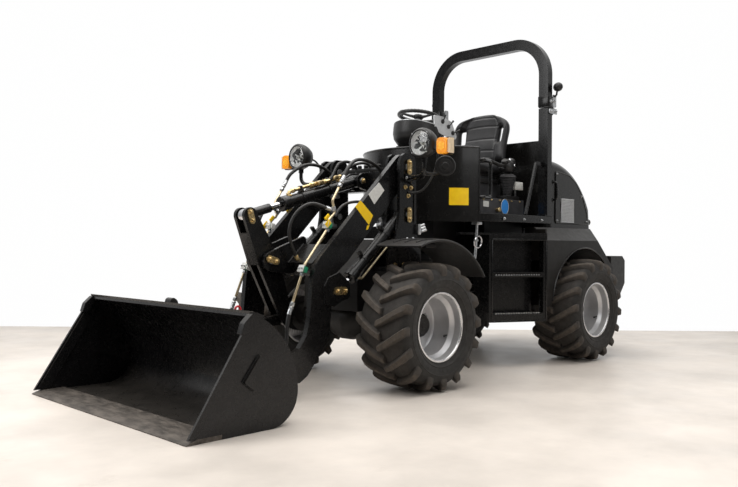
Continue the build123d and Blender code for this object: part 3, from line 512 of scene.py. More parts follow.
def tyre(name, x, side, turn):
    pc = Piece(name + "_tyre_tread", M_TYRE)
    c = P(x, side * 605, 383)
    prof = [(w, r) for w, r in HALF] + [(-w, r) for w, r in HALF[:0:-1]]
    segs = 112
    verts, faces = [], []
    for k in range(segs):
        a = 2 * math.pi * k / segs
        for w, r in prof:
            verts.append(c + V(r * math.cos(a), w, r * math.sin(a)) / 1000.0)
    n = len(prof)
    for k in range(segs):
        l = (k + 1) % segs
        for i in range(n):
            j = (i + 1) % n
            faces.append([k * n + i, k * n + j, l * n + j, l * n + i])
    pc.add(verts, faces)
    pc.tag = [0.22 if (r > 340) else 0.0 for _ in range(segs) for w, r in prof]
    for s in (1, -1):
        for k in range(LUG_N):
            a0 = turn + 2 * math.pi * (k + (0.5 if s < 0 else 0.0)) / LUG_N
            verts, faces, tags = [], [], []
            m = len(LUG_TOP)
            for i, ((wt, rt), (wb, rb)) in enumerate(zip(LUG_TOP, LUG_BASE)):
                f = max(-0.08, min(1.0, wt / 190.0))
                lead = LUG_LEAD * (abs(f) ** 1.12) * (1 if f > 0 else -1)
                ht = 16.5 + 4.0 * max(0.0, f)
                hb = ht + 10.5
                if i >= m - 3:
                    ht -= 2.5 * (i - m + 4)
                    hb -= 2.5 * (i - m + 4)
                dn = Vector((wt - wb, rt - rb)).normalized() * 4.5
                row = [(wb, rb, -hb, 0.0), (wt - dn.x, rt - dn.y, -(ht + 1.6), 0.75), (wt, rt, -(ht - 3.0), 1.0),
                       (wt, rt, ht - 3.0, 1.0), (wt - dn.x, rt - dn.y, ht + 1.6, 0.75), (wb, rb, hb, 0.0)]
                for w, r, d, tg in row:
                    a = a0 + lead + d / r
                    verts.append(c + V(r * math.cos(a), s * w, r * math.sin(a)) / 1000.0)
                    tags.append(tg * (1.0 if i < 7 else 0.55))
            for i in range(m - 1):
                for j in range(6):
                    l = (j + 1) % 6
                    faces.append([i * 6 + j, i * 6 + l, (i + 1) * 6 + l, (i + 1) * 6 + j])
            faces.append(list(range(6)))
            faces.append([(m - 1) * 6 + j for j in range(6)])
            pc.add(verts, faces)
            pc.tag[-len(tags):] = tags
    o = pc.done(name + "_wheel", "tyre_rubber", angle=30, attr="tread")
    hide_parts(name + "_tyre")
    # wheel nuts, hub bolts, valve
    nuts = Piece(name + "_wheel_nuts", M_ZINC)
    ax = V(0, side, 0)
    for k in range(6):
        a = math.radians(30 + 60 * k)
        at = c + V(98 * math.cos(a), -36 * side, 98 * math.sin(a)) / 1000.0
        nuts.lathe([(0, -2), (17, -2), (17, 3), (14, 4), (0, 4)], at, ax, 18)
        nuts.lathe([(0, 3), (13.5, 3), (13.5, 14), (11, 18), (0, 18)], at, ax, 6)
        nuts.lathe([(0, 17), (8, 17), (8, 27), (6.5, 29), (0, 29)], at, ax, 12)
    nuts.done(name + "_wheel", "zinc_steel")
    hub = Piece(name + "_hub_cover", M_CAST)
    hub.lathe([(70.6, -34), (76, -33), (78, -26), (76, -21), (70.8, -20), (70.8, 2), (72.5, 5), (70, 11), (60, 17), (55, 31), (50, 34.5), (40, 34.5), (37, 31),
               (20, 31), (16, 35), (0, 35)], c, ax, 40)
    for k in range(8):
        a = math.radians(22.5 + 45 * k)
        hub.bolt(c + V(64 * math.cos(a), 9.0 * side, 64 * math.sin(a)) / 1000.0, ax, 10, 6, washer=False)
    hub.done(name + "_wheel", "cast_black")
    val = Piece(name + "_valve", M_HOSE)
    a = math.radians(205)
    p0 = c + V(176 * math.cos(a), 60 * side, 176 * math.sin(a)) / 1000.0
    p1 = c + V(150 * math.cos(a), 96 * side, 150 * math.sin(a)) / 1000.0
    val.tube([p0, p0.lerp(p1, 0.35), p0.lerp(p1, 0.36), p0.lerp(p1, 0.8), p0.lerp(p1, 0.81), p1], 5, 10, radii=[8, 7, 4.2, 4.2, 5, 5])
    val.done(name + "_wheel", "tyre_rubber")


for name, x, side, turn in (("front_left", 0, 1, 0.10), ("front_right", 0, -1, 0.27), ("rear_left", REAR_X, 1, 0.21), ("rear_right", REAR_X, -1, 0.05)):
    tyre(name, x, side, turn)

# ------------------------------------------------------------------ more helpers
def route(pts, r=30.0, n=6):
    """Line through mm points with its corners rounded by r, as vectors."""
    q = [P(*p) for p in pts]
    out = [q[0]]
    for i in range(1, len(q) - 1):
        da, db = q[i - 1] - q[i], q[i + 1] - q[i]
        t = min(r / 1000.0, da.length * 0.48, db.length * 0.48)
        s, e = q[i] + da.normalized() * t, q[i] + db.normalized() * t
        for k in range(n + 1):
            f = k / n
            out.append(s * (1 - f) ** 2 + q[i] * (2 * f * (1 - f)) + e * f ** 2)
    out.append(q[-1])
    return out


def nurbs(pts, res=14):
    """Points along a NURBS line that has the route (mm) as its control points."""
    cu = bpy.data.curves.new("route", "CURVE")
    cu.dimensions = "3D"
    sp = cu.splines.new("NURBS")
    sp.points.add(len(pts) - 1)
    for k, p in enumerate(pts):
        sp.points[k].co = (*P(*p), 1)
    sp.order_u = 3
    sp.use_endpoint_u = True
    sp.resolution_u = res
    ob = bpy.data.objects.new("route", cu)
    tmp = bpy.data.meshes.new_from_object(ob)
    line = [v.co.copy() for v in tmp.vertices]
    bpy.data.objects.remove(ob)
    bpy.data.meshes.remove(tmp)
    bpy.data.curves.remove(cu)
    return line


def placed(at, x_dir, y_dir=(0, 1, 0)):
    """Matrix from local mm to the shared frame: local x along x_dir, local y near y_dir, origin at a vector."""
    x = Vector(x_dir).normalized()
    y = Vector(y_dir)
    y = (y - x * y.dot(x)).normalized()
    z = x.cross(y)
    return Matrix(((x.x, y.x, z.x, at.x), (x.y, y.y, z.y, at.y), (x.z, y.z, z.z, at.z), (0, 0, 0, 1))) @ Matrix.Scale(0.001, 4)


def capsule(c, u, v, half, r, n=8):
    """Slot outline about c: long axis u, cross axis v, half the straight length and end radius in mm."""
    u, v = Vector(u).normalized(), Vector(v).normalized()
    pts = []
    for sgn in (1, -1):
        for k in range(n + 1):
            a = math.radians(-90 + 180 * k / n)
            pts.append(c + (u * sgn * (half + r * math.cos(a)) + v * sgn * r * math.sin(a)) / 1000.0)
    return pts


def disc(c, u, v, r, n=28, r2=None):
    """Ellipse outline about c with half axes r and r2 mm along u and v."""
    u, v = Vector(u).normalized(), Vector(v).normalized()
    return [c + (u * r * math.cos(2 * math.pi * k / n) + v * (r2 or r) * math.sin(2 * math.pi * k / n)) / 1000.0 for k in range(n)]


def hose(name, pts, r, body=None, blend=None, mat=None, segs=10, declare=True):
    """Rubber hose along a NURBS line between two fittings, declared at the length it has."""
    line = nurbs(pts)
    pc = Piece(name, mat or M_HOSE)
    pc.tube(line, r, segs)
    o = pc.done(body, "matte_plastic", angle=60)
    if blend:
        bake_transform(o)
    if declare:
        ln = sum((b - a).length for a, b in zip(line, line[1:]))
        HOSES.append((name, ln))
    return o, line


def crimp(pc, at, direction, r=13.0, length=46.0):
    """Hose end: swaged ferrule, hex nut and collar."""
    d = Vector(direction).normalized()
    pc.lathe([(0, 0), (r * 0.72, 0), (r * 0.78, 2), (r * 0.78, length * 0.2), (r * 0.6, length * 0.22), (r * 0.6, length * 0.3), (r * 0.95, length * 0.32),
              (r, length * 0.36), (r * 0.93, length * 0.46), (r, length * 0.56), (r * 0.93, length * 0.66), (r, length * 0.78), (r * 0.95, length), (0, length)], at, d, 16)
    pc.lathe([(0, length * 0.04), (r * 1.05, length * 0.04), (r * 1.12, length * 0.08), (r * 1.12, length * 0.22), (r, length * 0.26), (0, length * 0.26)], at, d, 6)


HOSES = []
SIDES = (1, -1)

# ------------------------------------------------------------------ work lamps and indicators
# lamp reflector: whitish, almost non-metal colour in place of chrome, painting in the bright reflections of its facets
M_REFL_PAINTED_GLINT = finish("painted_glint_lamp_reflector", (0.86, 0.86, 0.85), 0.3, metal=0.08, var=0.05, scale=80, rough_var=0.08, bump=0.05, bump_scale=160)
LAMP = (-18.0, 578.0, 1487.0)
shell, refl, lens, bulb = Piece("lamp_housings", M_PLASTIC), Piece("lamp_reflectors", M_REFL_PAINTED_GLINT), Piece("lamp_lenses", M_LENS), Piece("lamp_bulbs", M_WHITE)
stalk, amber, cream, base = Piece("lamp_stalks", M_PAINT), Piece("indicator_lenses", M_AMBER), Piece("indicator_edges", M_CREAM), Piece("indicator_bases", M_PLASTIC)
core = Piece("indicator_cores", M_ORANGE)
screws = Piece("lamp_screws", M_ZINC)
for s in SIDES:
    c = P(LAMP[0], s * LAMP[1], LAMP[2])
    fx = V(1, 0, 0)
    shell.lathe([(0, -126), (18, -125.5), (32, -122), (50, -111), (66, -97), (78, -80), (86, -62), (91, -44), (92.5, -30), (92.5, -12), (91, -7), (87, -4), (84, 1),
                 (80.5, 3.5), (77.5, 3), (76, 0), (75.6, -12), (0, -44)], c, fx, 48)
    for k in range(7):
        shell.lathe([(60 + 2.8 * k, -103 + 5.5 * k), (66 + 3.0 * k, -100 + 5.5 * k), (65.4 + 3.0 * k, -98 + 5.5 * k), (59 + 2.8 * k, -101 + 5.5 * k)], c, fx, 36, closed=True)
    # reflector of small facets, ring by ring, in the whitish painted-reflection finish
    rings = [(75.4, -5), (66, -14), (55, -21), (43, -27), (31, -32), (19, -36), (12, -38)]
    verts, faces, nseg = [], [], 22
    for j, (r, h) in enumerate(rings):
        for k in range(nseg):
            a = 2 * math.pi * (k + 0.5 * (j % 2)) / nseg
            dh = rng.uniform(-2.4, 2.4) if 0 < j < 6 else 0
            verts.append(c + V(h + dh, r * math.cos(a), r * math.sin(a)) / 1000.0)
    for j in range(len(rings) - 1):
        for k in range(nseg):
            a0, a1, b0, b1 = j * nseg + k, j * nseg + (k + 1) % nseg, (j + 1) * nseg + k, (j + 1) * nseg + (k + 1) % nseg
            faces += [[a0, a1, b0], [a1, b1, b0]] if j % 2 == 0 else [[a0, b1, b0], [a0, a1, b1]]
    faces.append([(len(rings) - 1) * nseg + k for k in range(nseg)])
    refl.add(verts, faces)
    bulb.lathe([(0, -39), (11, -39), (11, -24), (9, -18), (5, -14), (0, -13)], c, fx, 18)
    lens.lathe([(0, 7.5), (25, 6.8), (48, 4.8), (64, 1.8), (74.5, -1.5), (75.2, -4), (72, -4.5), (60, -0.6), (46, 2.0), (25, 4.0), (0, 4.6)], c, fx, 48)
    for k in range(4):
        a = math.radians(45 + 90 * k)
        screws.lathe([(0, 0), (3.6, 0), (3.6, 2), (2.4, 3.2), (0, 3.2)], c + V(1.5, 82.2 * math.cos(a), 82.2 * math.sin(a)) / 1000.0, fx, 10)
    # stalk with its foot on the tower, yoke under the lamp
    stalk.tube(route([(-63, s * 578, 1412), (-63, s * 578, 1290), (-120, s * 430, 1290), (-140, s * 389, 1290)], 60, 10), 13, 14)
    stalk.slab([P(-175, s * 380.3, 1262), P(-105, s * 380.3, 1262), P(-105, s * 380.3, 1318), P(-175, s * 380.3, 1318)], (0, s, 0), 8, 2)
    stalk.lathe([(0, -4), (20, -4), (20, 8), (16, 12), (0, 12)], P(-63, s * 578, 1400), (0, 0, 1), 20)
    stalk.lathe([(0, 0), (19, 0), (19, 26), (16, 28), (0, 28)], P(-63, s * 578, 1372), (0, 0, 1), 6)
    for dx in (-27, 27):
        screws.bolt(P(-140 + dx, s * 388.3, 1290), (0, s, 0), 13, 7)
    # indicator: black base, amber lens with ribs, cream reflector edge
    base.slab([P(-98, s * y, z) for y, z in rounded([(686, 1407), (784, 1407), (784, 1513), (686, 1513)], 22)], (1, 0, 0), 22, 3)
    base.tube([P(-63, s * 650, 1440), P(-75, s * 672, 1440), P(-84, s * 690, 1440)], 9, 12)
    amber.slab([P(-76, s * y, z) for y, z in rounded([(690, 1411), (766, 1411), (766, 1509), (690, 1509)], 30, 8)], (1, 0, 0), 34, 9, 4)
    for k in range(5):
        core.slab([P(-44, s * y, z) for y, z in rounded([(704 + 10 * k, 1432 + 5 * abs(k - 2)), (709 + 10 * k, 1432 + 5 * abs(k - 2)),
                                                         (709 + 10 * k, 1488 - 5 * abs(k - 2)), (704 + 10 * k, 1488 - 5 * abs(k - 2))], 2)], (1, 0, 0), 4.5, 1.2)
    cream.slab([P(-92, s * y, z) for y, z in rounded([(764.5, 1420), (785, 1413), (785, 1507), (764.5, 1500)], 6)], (1, 0, 0), 40, 4, 3)
for pc, sl in ((shell, "matte_plastic"), (stalk, "black_paint"), (amber, "amber"), (cream, "amber"), (base, "matte_plastic"), (screws, "zinc_steel"), (core, "amber"),
               (lens, "lamp_glass"), (bulb, "lamp_glass")):
    ob = pc.done("front_frame", sl)
    if pc is shell:
        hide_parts("headlamps")
    elif pc is lens:
        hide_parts("headlamp_lenses")
    elif pc is amber:
        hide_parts("indicator_lamps")
refl.done("front_frame", "chrome_rod", smooth=False)
for s in SIDES:
    tag = "left" if s > 0 else "right"
    hose("lamp_cable_" + tag, [(-138, s * 578, 1483), (-196, s * 572, 1478), (-232, s * 548, 1400), (-232, s * 500, 1290), (-205, s * 440, 1205), (-160, s * 398, 1196), (-138, s * 381, 1198)],
         6.5, "front_frame")
# horn beside the left lamp, with its cable
horn = Piece("horn", M_PLASTIC)
hc, hx = P(-240, 600, 1361), V(0.72, 0.69, 0).normalized()
horn.lathe([(0, -30), (20, -30), (24, -24), (46, -18), (60, -12), (64, -4), (65, 4), (62, 9), (56, 10), (54, 7), (44, 7), (42, 10), (24, 10), (20, 14), (0, 14)], hc, hx, 36)
horn.tube(route([(-240, 586, 1361), (-250, 570, 1330), (-170, 560, 1310), (-75, 578, 1310)], 30), 7, 10)
horn.done("front_frame", "matte_plastic")
# its wire is strapped along the bracket, the stalk and the tower
wire = Piece("horn_wire", M_HOSE)
wire.tube(route([(-262, 579, 1352), (-262, 566, 1322), (-172, 550, 1300), (-85, 566, 1296), (-76, 560, 1276), (-124, 432, 1276), (-150, 384, 1262), (-196, 383.5, 1240), (-196, 383.5, 1010)], 26), 4, 8)
wire.done("front_frame", "matte_plastic")

# ------------------------------------------------------------------ pin keepers, bolts on the tower and boom
gold = Piece("tower_pin_keepers", M_GOLD)
tbolt = Piece("tower_bolts", M_GOLD)
for s in SIDES:
    for x, z in (PIN_BOOM, PIN_LIFT_BASE):
        gold.slab(capsule(P(x, s * 388.2, z), (0, 0, 1), (1, 0, 0), 28, 21), (0, s, 0), 7, 2)
        gold.slab(capsule(P(x, s * 395.0, z), (0, 0, 1), (1, 0, 0), 6, 9), (0, s, 0), 3, 1)
        for dz in (-27, 27):
            gold.bolt(P(x, s * 395.2, z + dz), (0, s, 0), 17, 8)
    for x, z in ((-112, 1272 - 40), (-164, 1270 - 40), (-140, 1178)):
        tbolt.bolt(P(x, s * 380.2, z), (0, s, 0), 19, 10)
    for x, z in ((-235, 742), (-180, 742), (-100, 742), (-20, 742)):
        tbolt.bolt(P(x, s * 380.2, z), (0, s, 0), 19, 10)
    tbolt.bolt(P(PIN_TILT_BASE[0], s * 74.2, PIN_TILT_BASE[1]), (0, s, 0), 24, 12)
gold.done("front_frame", "zinc_steel")
tbolt.done("front_frame", "zinc_steel")
bk = Piece("boom_pin_keepers", M_GOLD)
ck = Piece("bellcrank_keepers", M_GOLD)
pk = Piece("bucket_pin_keepers", M_GOLD)
for s in SIDES:
    bk.slab(capsule(P(PIN_CRANK[0], s * 92.2, PIN_CRANK[1]), (0.96, 0, 0.28), (-0.28, 0, 0.96), 27, 21), (0, s, 0), 7, 2)
    for d in (-26, 26):
        bk.bolt(P(PIN_CRANK[0] + d * 0.96, s * 99.2, PIN_CRANK[1] + d * 0.28), (0, s, 0), 17, 8)
    bk.slab(capsule(P(PIN_LIFT_ROD[0] + 14, s * 341.2, PIN_LIFT_ROD[1]), (1, 0, 0), (0, 0, 1), 30, 24), (0, s, 0), 7, 2)
    for d in (-22, 40):
        bk.bolt(P(PIN_LIFT_ROD[0] + d, s * 348.2, PIN_LIFT_ROD[1]), (0, s, 0), 17, 9)
    ck.slab(capsule(P(PIN_CRANK_TOP[0] - 2, s * 52.2, PIN_CRANK_TOP[1] - 6), (0.30, 0, 0.95), (0.95, 0, -0.30), 26, 20), (0, s, 0), 7, 2)
    for d in (-25, 25):
        ck.bolt(P(PIN_CRANK_TOP[0] - 2 + d * 0.3, s * 59.2, PIN_CRANK_TOP[1] - 6 + d * 0.95), (0, s, 0), 16, 8)
    pk.slab(capsule(P(PIN_BUCKET[0], s * 372.2, PIN_BUCKET[1]), (1, 0, 0.25), (-0.25, 0, 1), 27, 21), (0, s, 0), 7, 2)
    for d in (-26, 26):
        pk.bolt(P(PIN_BUCKET[0] + d * 0.97, s * 379.2, PIN_BUCKET[1] + d * 0.24), (0, s, 0), 17, 8)
bk.done("boom", "zinc_steel")
ck.done("bellcrank", "zinc_steel")
pk.done("bucket_pins", "zinc_steel")

# ------------------------------------------------------------------ boom pipes: clamps, fittings, tees
PIPE = [(349, 1233), (417, 1126), (396, 1055), (446, 1010), (456, 958), (629, 750), (729, 508)]
green, white, fit, tags = Piece("pipe_clamps", M_GREEN), Piece("pipe_clamp_plates", M_WHITE), Piece("pipe_fittings", M_ZINC), Piece("pipe_tags", M_YELLOW)
for s in SIDES:
    for (x, z), (dx, dz) in (((452, 978), (0.19, -0.98)), ((641, 721), (0.382, -0.924))):
        m = placed(P(x, s * 274, z), (dx, 0, dz))
        green.box((-17, -22, -16), (17, 22, 16), 3, 2, m)
        white.box((-21, -23, 16.2), (21, 23, 20.5), 1.5, 2, m)
        white.box((-19, -34 if s > 0 else 22.2, -15), (19, -22.2 if s > 0 else 34, 15), 3, 2, m)
        n = V(dz, 0, -dx) * -1
        if n.x < 0:
            n = n * -1
        for k in (-13, 13):
            fit.bolt(P(x, s * 274 + k, z) + n * 0.0205, n, 11, 7, washer=False)
        fit.lathe([(0, 0), (11, 0), (13, 3), (13, 20), (10, 24), (0, 24)], P(x + dx * 18, s * 274, z + dz * 18), (dx, 0, dz), 6)
    d0 = (V(417, 0, 1126) - V(349, 0, 1233)).normalized()
    crimp(fit, P(349, s * 274, 1233) - d0 * 0.002, -d0, 13, 52)
    fit.lathe([(0, 0), (12.5, 0), (14.5, 3), (14.5, 18), (12, 22), (0, 22)], P(349, s * 274, 1233) + d0 * 0.004, d0, 6)
    d1 = (V(729, 0, 508) - V(629, 0, 750)).normalized()
    fit.lathe([(0, 0), (12, 0), (14.5, 3), (14.5, 20), (12, 24), (0, 24)], P(729, s * 274, 508) - d1 * 0.03, d1, 6)
    crimp(fit, P(729, s * 274, 508) - d1 * 0.004, d1, 13, 48)
    fit.lathe([(0, 0), (11, 0), (13, 3), (13, 26), (11, 28), (0, 28)], P(409, s * 274, 1092), (-0.28, 0, -0.96), 6)
    crimp(fit, P(403, s * 268, 1068), V(0.72, -0.6 * s, 0.34), 12, 50)
    for k, (x, z) in enumerate(((432, 1012), (470, 985))):
        m = placed(P(x, s * (296.5 if k else 262), z), (0.7, 0, -0.7))
        if k:
            tags.box((-24, -3 if s > 0 else 0, -14), (20, 0 if s > 0 else 3, 18), 1, 2, m)
        else:
            tags.box((-20, -5, 14), (20, 5, 32), 1, 2, m)
green.done("boom", "matte_plastic")
white.done("boom", "matte_plastic")
fit.done("boom", "zinc_steel")
tags.done("boom", "matte_plastic")
# hoses of the boom: over the pivot, tee to the crossbeam, lower ends to couplers on the arm
A_ = P(PIN_BOOM[0], 0, PIN_BOOM[1])
for s in SIDES:
    tag = "left" if s > 0 else "right"
    hose("boom_hose_" + tag, [(336, s * 274, 1254), (316, s * 274, 1286), (290, s * 268, 1330), (200, s * 242, 1392), (90, s * 234, 1398), (0, s * 232, 1370), (-50, s * 232, 1330), (-70, s * 232, 1262)], 11,
         blend=("front_frame", "boom", P(-60, 0, 1310), P(260, 0, 1360)))
    hose("tee_hose_" + tag, [(421, s * 253, 1076), (466, s * 224, 1098), (512, s * 196, 1112), (580, s * 170, 1080), (634, s * 156, 1010), (650, s * 150, 930), (622, s * 146, 856), (588, s * 144, 796)][::-1], 10, "boom")
    hose("coupler_hose_" + tag, [(738, s * 274, 486), (752, s * 275, 446), (762, s * 278, 390), (766, s * 281, 320), (782, s * 284, 276), (806, s * 284, 258)], 11, "boom")
    hose("arm_hose_" + tag, [(404, s * 286, 1034), (380, s * 284, 1072), (320, s * 282, 1112), (240, s * 280, 1128), (150, s * 262, 1130), (60, s * 240, 1120), (-10, s * 232, 1090), (-40, s * 231, 1040)], 9,
         blend=("front_frame", "boom", P(-20, 0, 1100), P(300, 0, 1115)))
cpl = Piece("arm_couplers", M_GOLD)
for s in SIDES:
    crimp(cpl, P(790, s * 284, 268), V(0.8, 0, -0.6), 15, 60)
    cpl.box((0, -20, -14), (60, 18, 14), 3, 2, placed(P(842, s * 278, 243), (0.99, 0, -0.1)))
    crimp(cpl, P(590, s * 144, 800), V(-0.5, 0, -0.87), 13, 30)
cpl.done("boom", "zinc_steel")
tfit = Piece("tower_fittings", M_ZINC)
for s in SIDES:
    crimp(tfit, P(-70, s * 232, 1266), V(-0.2, 0.1 * s, -1), 14, 48)
    tfit.box((-108, min(s * 215, s * 249.6), 1180), (-40, max(s * 215, s * 249.6), 1222), 4)
    crimp(tfit, P(-40, s * 231, 1044), V(-0.3, 0, -1), 12, 44)
    tfit.box((-80, min(s * 214, s * 249.6), 968), (-20, max(s * 214, s * 249.6), 1006), 4)
    for k in range(3):
        crimp(tfit, P(-236, s * (396 - 8 * k), 948 + 17 * k), V(-0.93, 0.2 * s, 0.3), 9, 52)
    tfit.box((-240, min(s * 372, s * 404), 932), (-214, max(s * 372, s * 404), 1000), 3)
tfit.done("front_frame", "zinc_steel")

# ------------------------------------------------------------------ tilt cylinder dressing
TG, TD = P(PIN_TILT_BASE[0], 0, PIN_TILT_BASE[1]), P(PIN_CRANK_TOP[0], 0, PIN_CRANK_TOP[1])
TT = (TD - TG).normalized()
TN = V(-TT.z, 0, TT.x)


def tc_(s, o, y=0.0):
    return TG + TT * (s / 1000.0) + TN * (o / 1000.0) + V(0, y / 1000.0, 0)


gp = Piece("tilt_pipe", M_GOLD)
line = [tc_(150, 36, 6), tc_(150, 48, 6), tc_(158, 58, 6), tc_(172, 61, 6), tc_(380, 61, 6), tc_(560, 61, 6), tc_(574, 58, 6), tc_(582, 48, 6), tc_(582, 34, 6)]
gp.tube(line, 11, 14)
for s0, s1, r in ((176, 204, 16), (366, 392, 17), (394, 404, 15), (530, 556, 16)):
    gp.lathe([(0, 0), (r - 2, 0), (r, 3), (r, s1 - s0 - 3), (r - 2, s1 - s0), (0, s1 - s0)], tc_(s0, 61, 6), TT, 6)
for s0 in (150, 582):
    gp.lathe([(0, 0), (20, 0), (20, 8), (17, 10), (0, 10)], tc_(s0, 34, 6), TN, 6)
    gp.lathe([(0, 0), (15, 0), (15, 12), (12, 14), (0, 14)], tc_(s0, 42, 6), TN, 16)
gp.box((-24, -16, -13), (24, 34, 13), 4, 2, placed(tc_(330, 61, 6), TT))
gp.box((-22, -34, -13), (22, 15, 13), 4, 2, placed(tc_(176, 61, 6), TT))
crimp(gp, tc_(308, 58, 28), -TT, 13, 56)
crimp(gp, tc_(156, 58, -18), -TT, 13, 52)
gp.done("tilt_barrel", "zinc_steel")
strap = Piece("tilt_pipe_straps", M_PAINT)
for s0 in (250, 480):
    strap.box((-8, -16, 32), (8, 28, 60), 3, 2, placed(tc_(s0, 0), TT))
    strap.box((-9, -10, 52), (9, 22, 76), 4, 2, placed(tc_(s0, 0), TT))
    strap.lathe([(38.3, -12), (42, -12), (43, -9), (43, 9), (42, 12), (38.3, 12)], tc_(s0, 0), TT, 36, closed=True)
strap.lathe([(20.5, 632), (44, 632), (46.5, 636), (46.5, 650), (42, 655), (26, 656), (24, 652), (20.5, 652)], TG, TT, 40, closed=True)
strap.done("tilt_barrel", "black_paint")
te = Piece("tilt_rod_end", M_PAINT)
te.lathe([(20.2, 742), (26, 742), (27.5, 745), (27.5, 850), (29, 862), (29, 892), (20.2, 892)], TG, TT, 28, closed=True)
te.done("tilt_rod", "black_paint")
hose("tilt_hose_front", [(-118, -62, 1358), (-96, -58, 1404), (10, -22, 1412), (90, 0, 1398), (140, 16, 1374), tuple(1000 * x for x in (tc_(235, 60, 28) - P(0, 0, 0))), tuple(1000 * x for x in (tc_(272, 58, 28) - P(0, 0, 0)))], 10,
     blend=("front_frame", "tilt_barrel", P(-60, 0, 1390), P(120, 0, 1380)))
hose("tilt_hose_rear", [(-122, 66, 1358), (-112, 64, 1402), (-44, 40, 1404), (10, 0, 1376), tuple(1000 * x for x in (tc_(86, 62, -18) - P(0, 0, 0))), tuple(1000 * x for x in (tc_(126, 58, -18) - P(0, 0, 0)))], 10,
     blend=("front_frame", "tilt_barrel", P(-80, 0, 1385), P(25, 0, 1370)))
tb = Piece("tower_valve", M_STRUCT)
tb.box((-178, -150, 1345.2), (-104, 150, 1372), 5)
for k in range(5):
    tb.lathe([(0, 0), (15, 0), (15, 20), (11, 26), (0, 26)], P(-141, -120 + 60 * k, 1372), (0, 0, 1), 16)
tb.done("front_frame", "black_paint")
vf = Piece("tower_valve_fittings", M_ZINC)
for y in (-62, 66):
    crimp(vf, P(-118 if y < 0 else -122, y, 1356), V(-0.1, 0, -1), 13, 16)
    vf.lathe([(0, 0), (16, 0), (16, 14), (12, 17), (0, 17)], P(-120, y, 1345), (0, 0, 1), 6)
vf.done("front_frame", "zinc_steel")

# ------------------------------------------------------------------ lift cylinder dressing
LT = V(PIN_LIFT_ROD[0] - PIN_LIFT_BASE[0], 0, PIN_LIFT_ROD[1] - PIN_LIFT_BASE[1]).normalized()
LN = V(LT.z, 0, -LT.x)
lp, lg = Piece("lift_pipes", M_PIPE), Piece("lift_glands", M_PAINT)
for s in SIDES:
    B0 = P(PIN_LIFT_BASE[0], s * 315, PIN_LIFT_BASE[1])

    def lc(a, o, y=0.0):
        return B0 + LT * (a / 1000.0) + LN * (o / 1000.0) + V(0, s * y / 1000.0, 0)

    lp.tube([lc(110, 34, 6), lc(110, 52, 8), lc(118, 62, 10), lc(132, 66, 10), lc(330, 66, 10), lc(520, 66, 10), lc(534, 62, 10), lc(542, 52, 8), lc(542, 34, 6)], 7, 12)
    for a in (110, 542):
        lp.lathe([(0, 0), (13, 0), (13, 14), (10, 17), (0, 17)], lc(a, 33, 6), LN, 6)
    for a in (200, 440):
        lg.box((-8, -12, 34), (8, 20, 76), 3, 2, placed(lc(a, 0), LT, (0, s, 0)) if s > 0 else placed(lc(a, 0), LT * -1, (0, s, 0)))
        lg.lathe([(36.3, -10), (39, -10), (40, -7), (40, 7), (39, 10), (36.3, 10)], lc(a, 0), LT, 32, closed=True)
    lg.lathe([(16.4, 584), (42, 584), (44, 588), (44, 598), (40, 603), (22, 604), (20, 600), (16.4, 600)], B0, LT, 36, closed=True)
lp.done("lift_barrels", "zinc_steel")
lg.done("lift_barrels", "black_paint")
le = Piece("lift_rod_ends", M_PAINT)
for s in SIDES:
    le.lathe([(16.2, 648), (22, 648), (24, 651), (24, 676), (16.2, 676)], P(PIN_LIFT_BASE[0], s * 315, PIN_LIFT_BASE[1]), LT, 24, closed=True)
le.done("lift_rods", "black_paint")

# ------------------------------------------------------------------ arms: blank plates, welds
wp, yp = Piece("arm_plate_white", M_WHITE), Piece("arm_plate_yellow", M_YELLOW)
for s in SIDES:
    wp.slab([P(a, s * 333.2, b) for a, b in rounded([(81, 1253), (32, 1206), (121, 1114), (174, 1173)], 6)], (0, s, 0), 1.2, 0.4)
    yp.slab([P(a, s * 333.2, b) for a, b in rounded([(241, 1134), (132, 1046), (167, 985), (286, 1095)], 6)], (0, s, 0), 1.2, 0.4)
    yp.slab([P(a, s * 333.2, b) for a, b in rounded([(182, 984), (160, 986), (176, 958), (192, 956)], 4)], (0, s, 0), 1.0, 0.3)
wp.done("boom", "matte_plastic")
yp.done("boom", "matte_plastic")
bw = Piece("boom_welds", M_WELD)
for s in SIDES:
    ring = [P(PIN_BOOM[0] + 54 * math.cos(2 * math.pi * k / 40), s * 333.5, PIN_BOOM[1] + 54 * math.sin(2 * math.pi * k / 40)) for k in range(41)]
    bw.weld(ring, 4)
    corner = [(481, 867), (596, 756), (519, 677), (404, 788)]
    for a, b in zip(corner, corner[1:] + corner[:1]):
        bw.weld([P(a[0], s * 294.5, a[1]), P(b[0], s * 294.5, b[1])], 4)
    LUG = [(330, 560), (336, 640), (415, 700), (500, 672), (536, 620), (530, 520)]
    bw.weld([P(a, s * 334.5, b) for a, b in LUG], 4)
    for y in (60.5, 85.5):
        bw.weld([P(478, s * y, 868), P(597, s * y, 757)], 3.6)
bw.done("boom", "black_paint")
def mirror(pc):
    """Copy everything in a piece to the machine's other side."""
    n = len(pc.v)
    pc.v += [(x, -y, z) for x, y, z in pc.v]
    pc.f += [[i + n for i in f[::-1]] for f in pc.f]
    pc.tag += pc.tag[:n]
    return pc


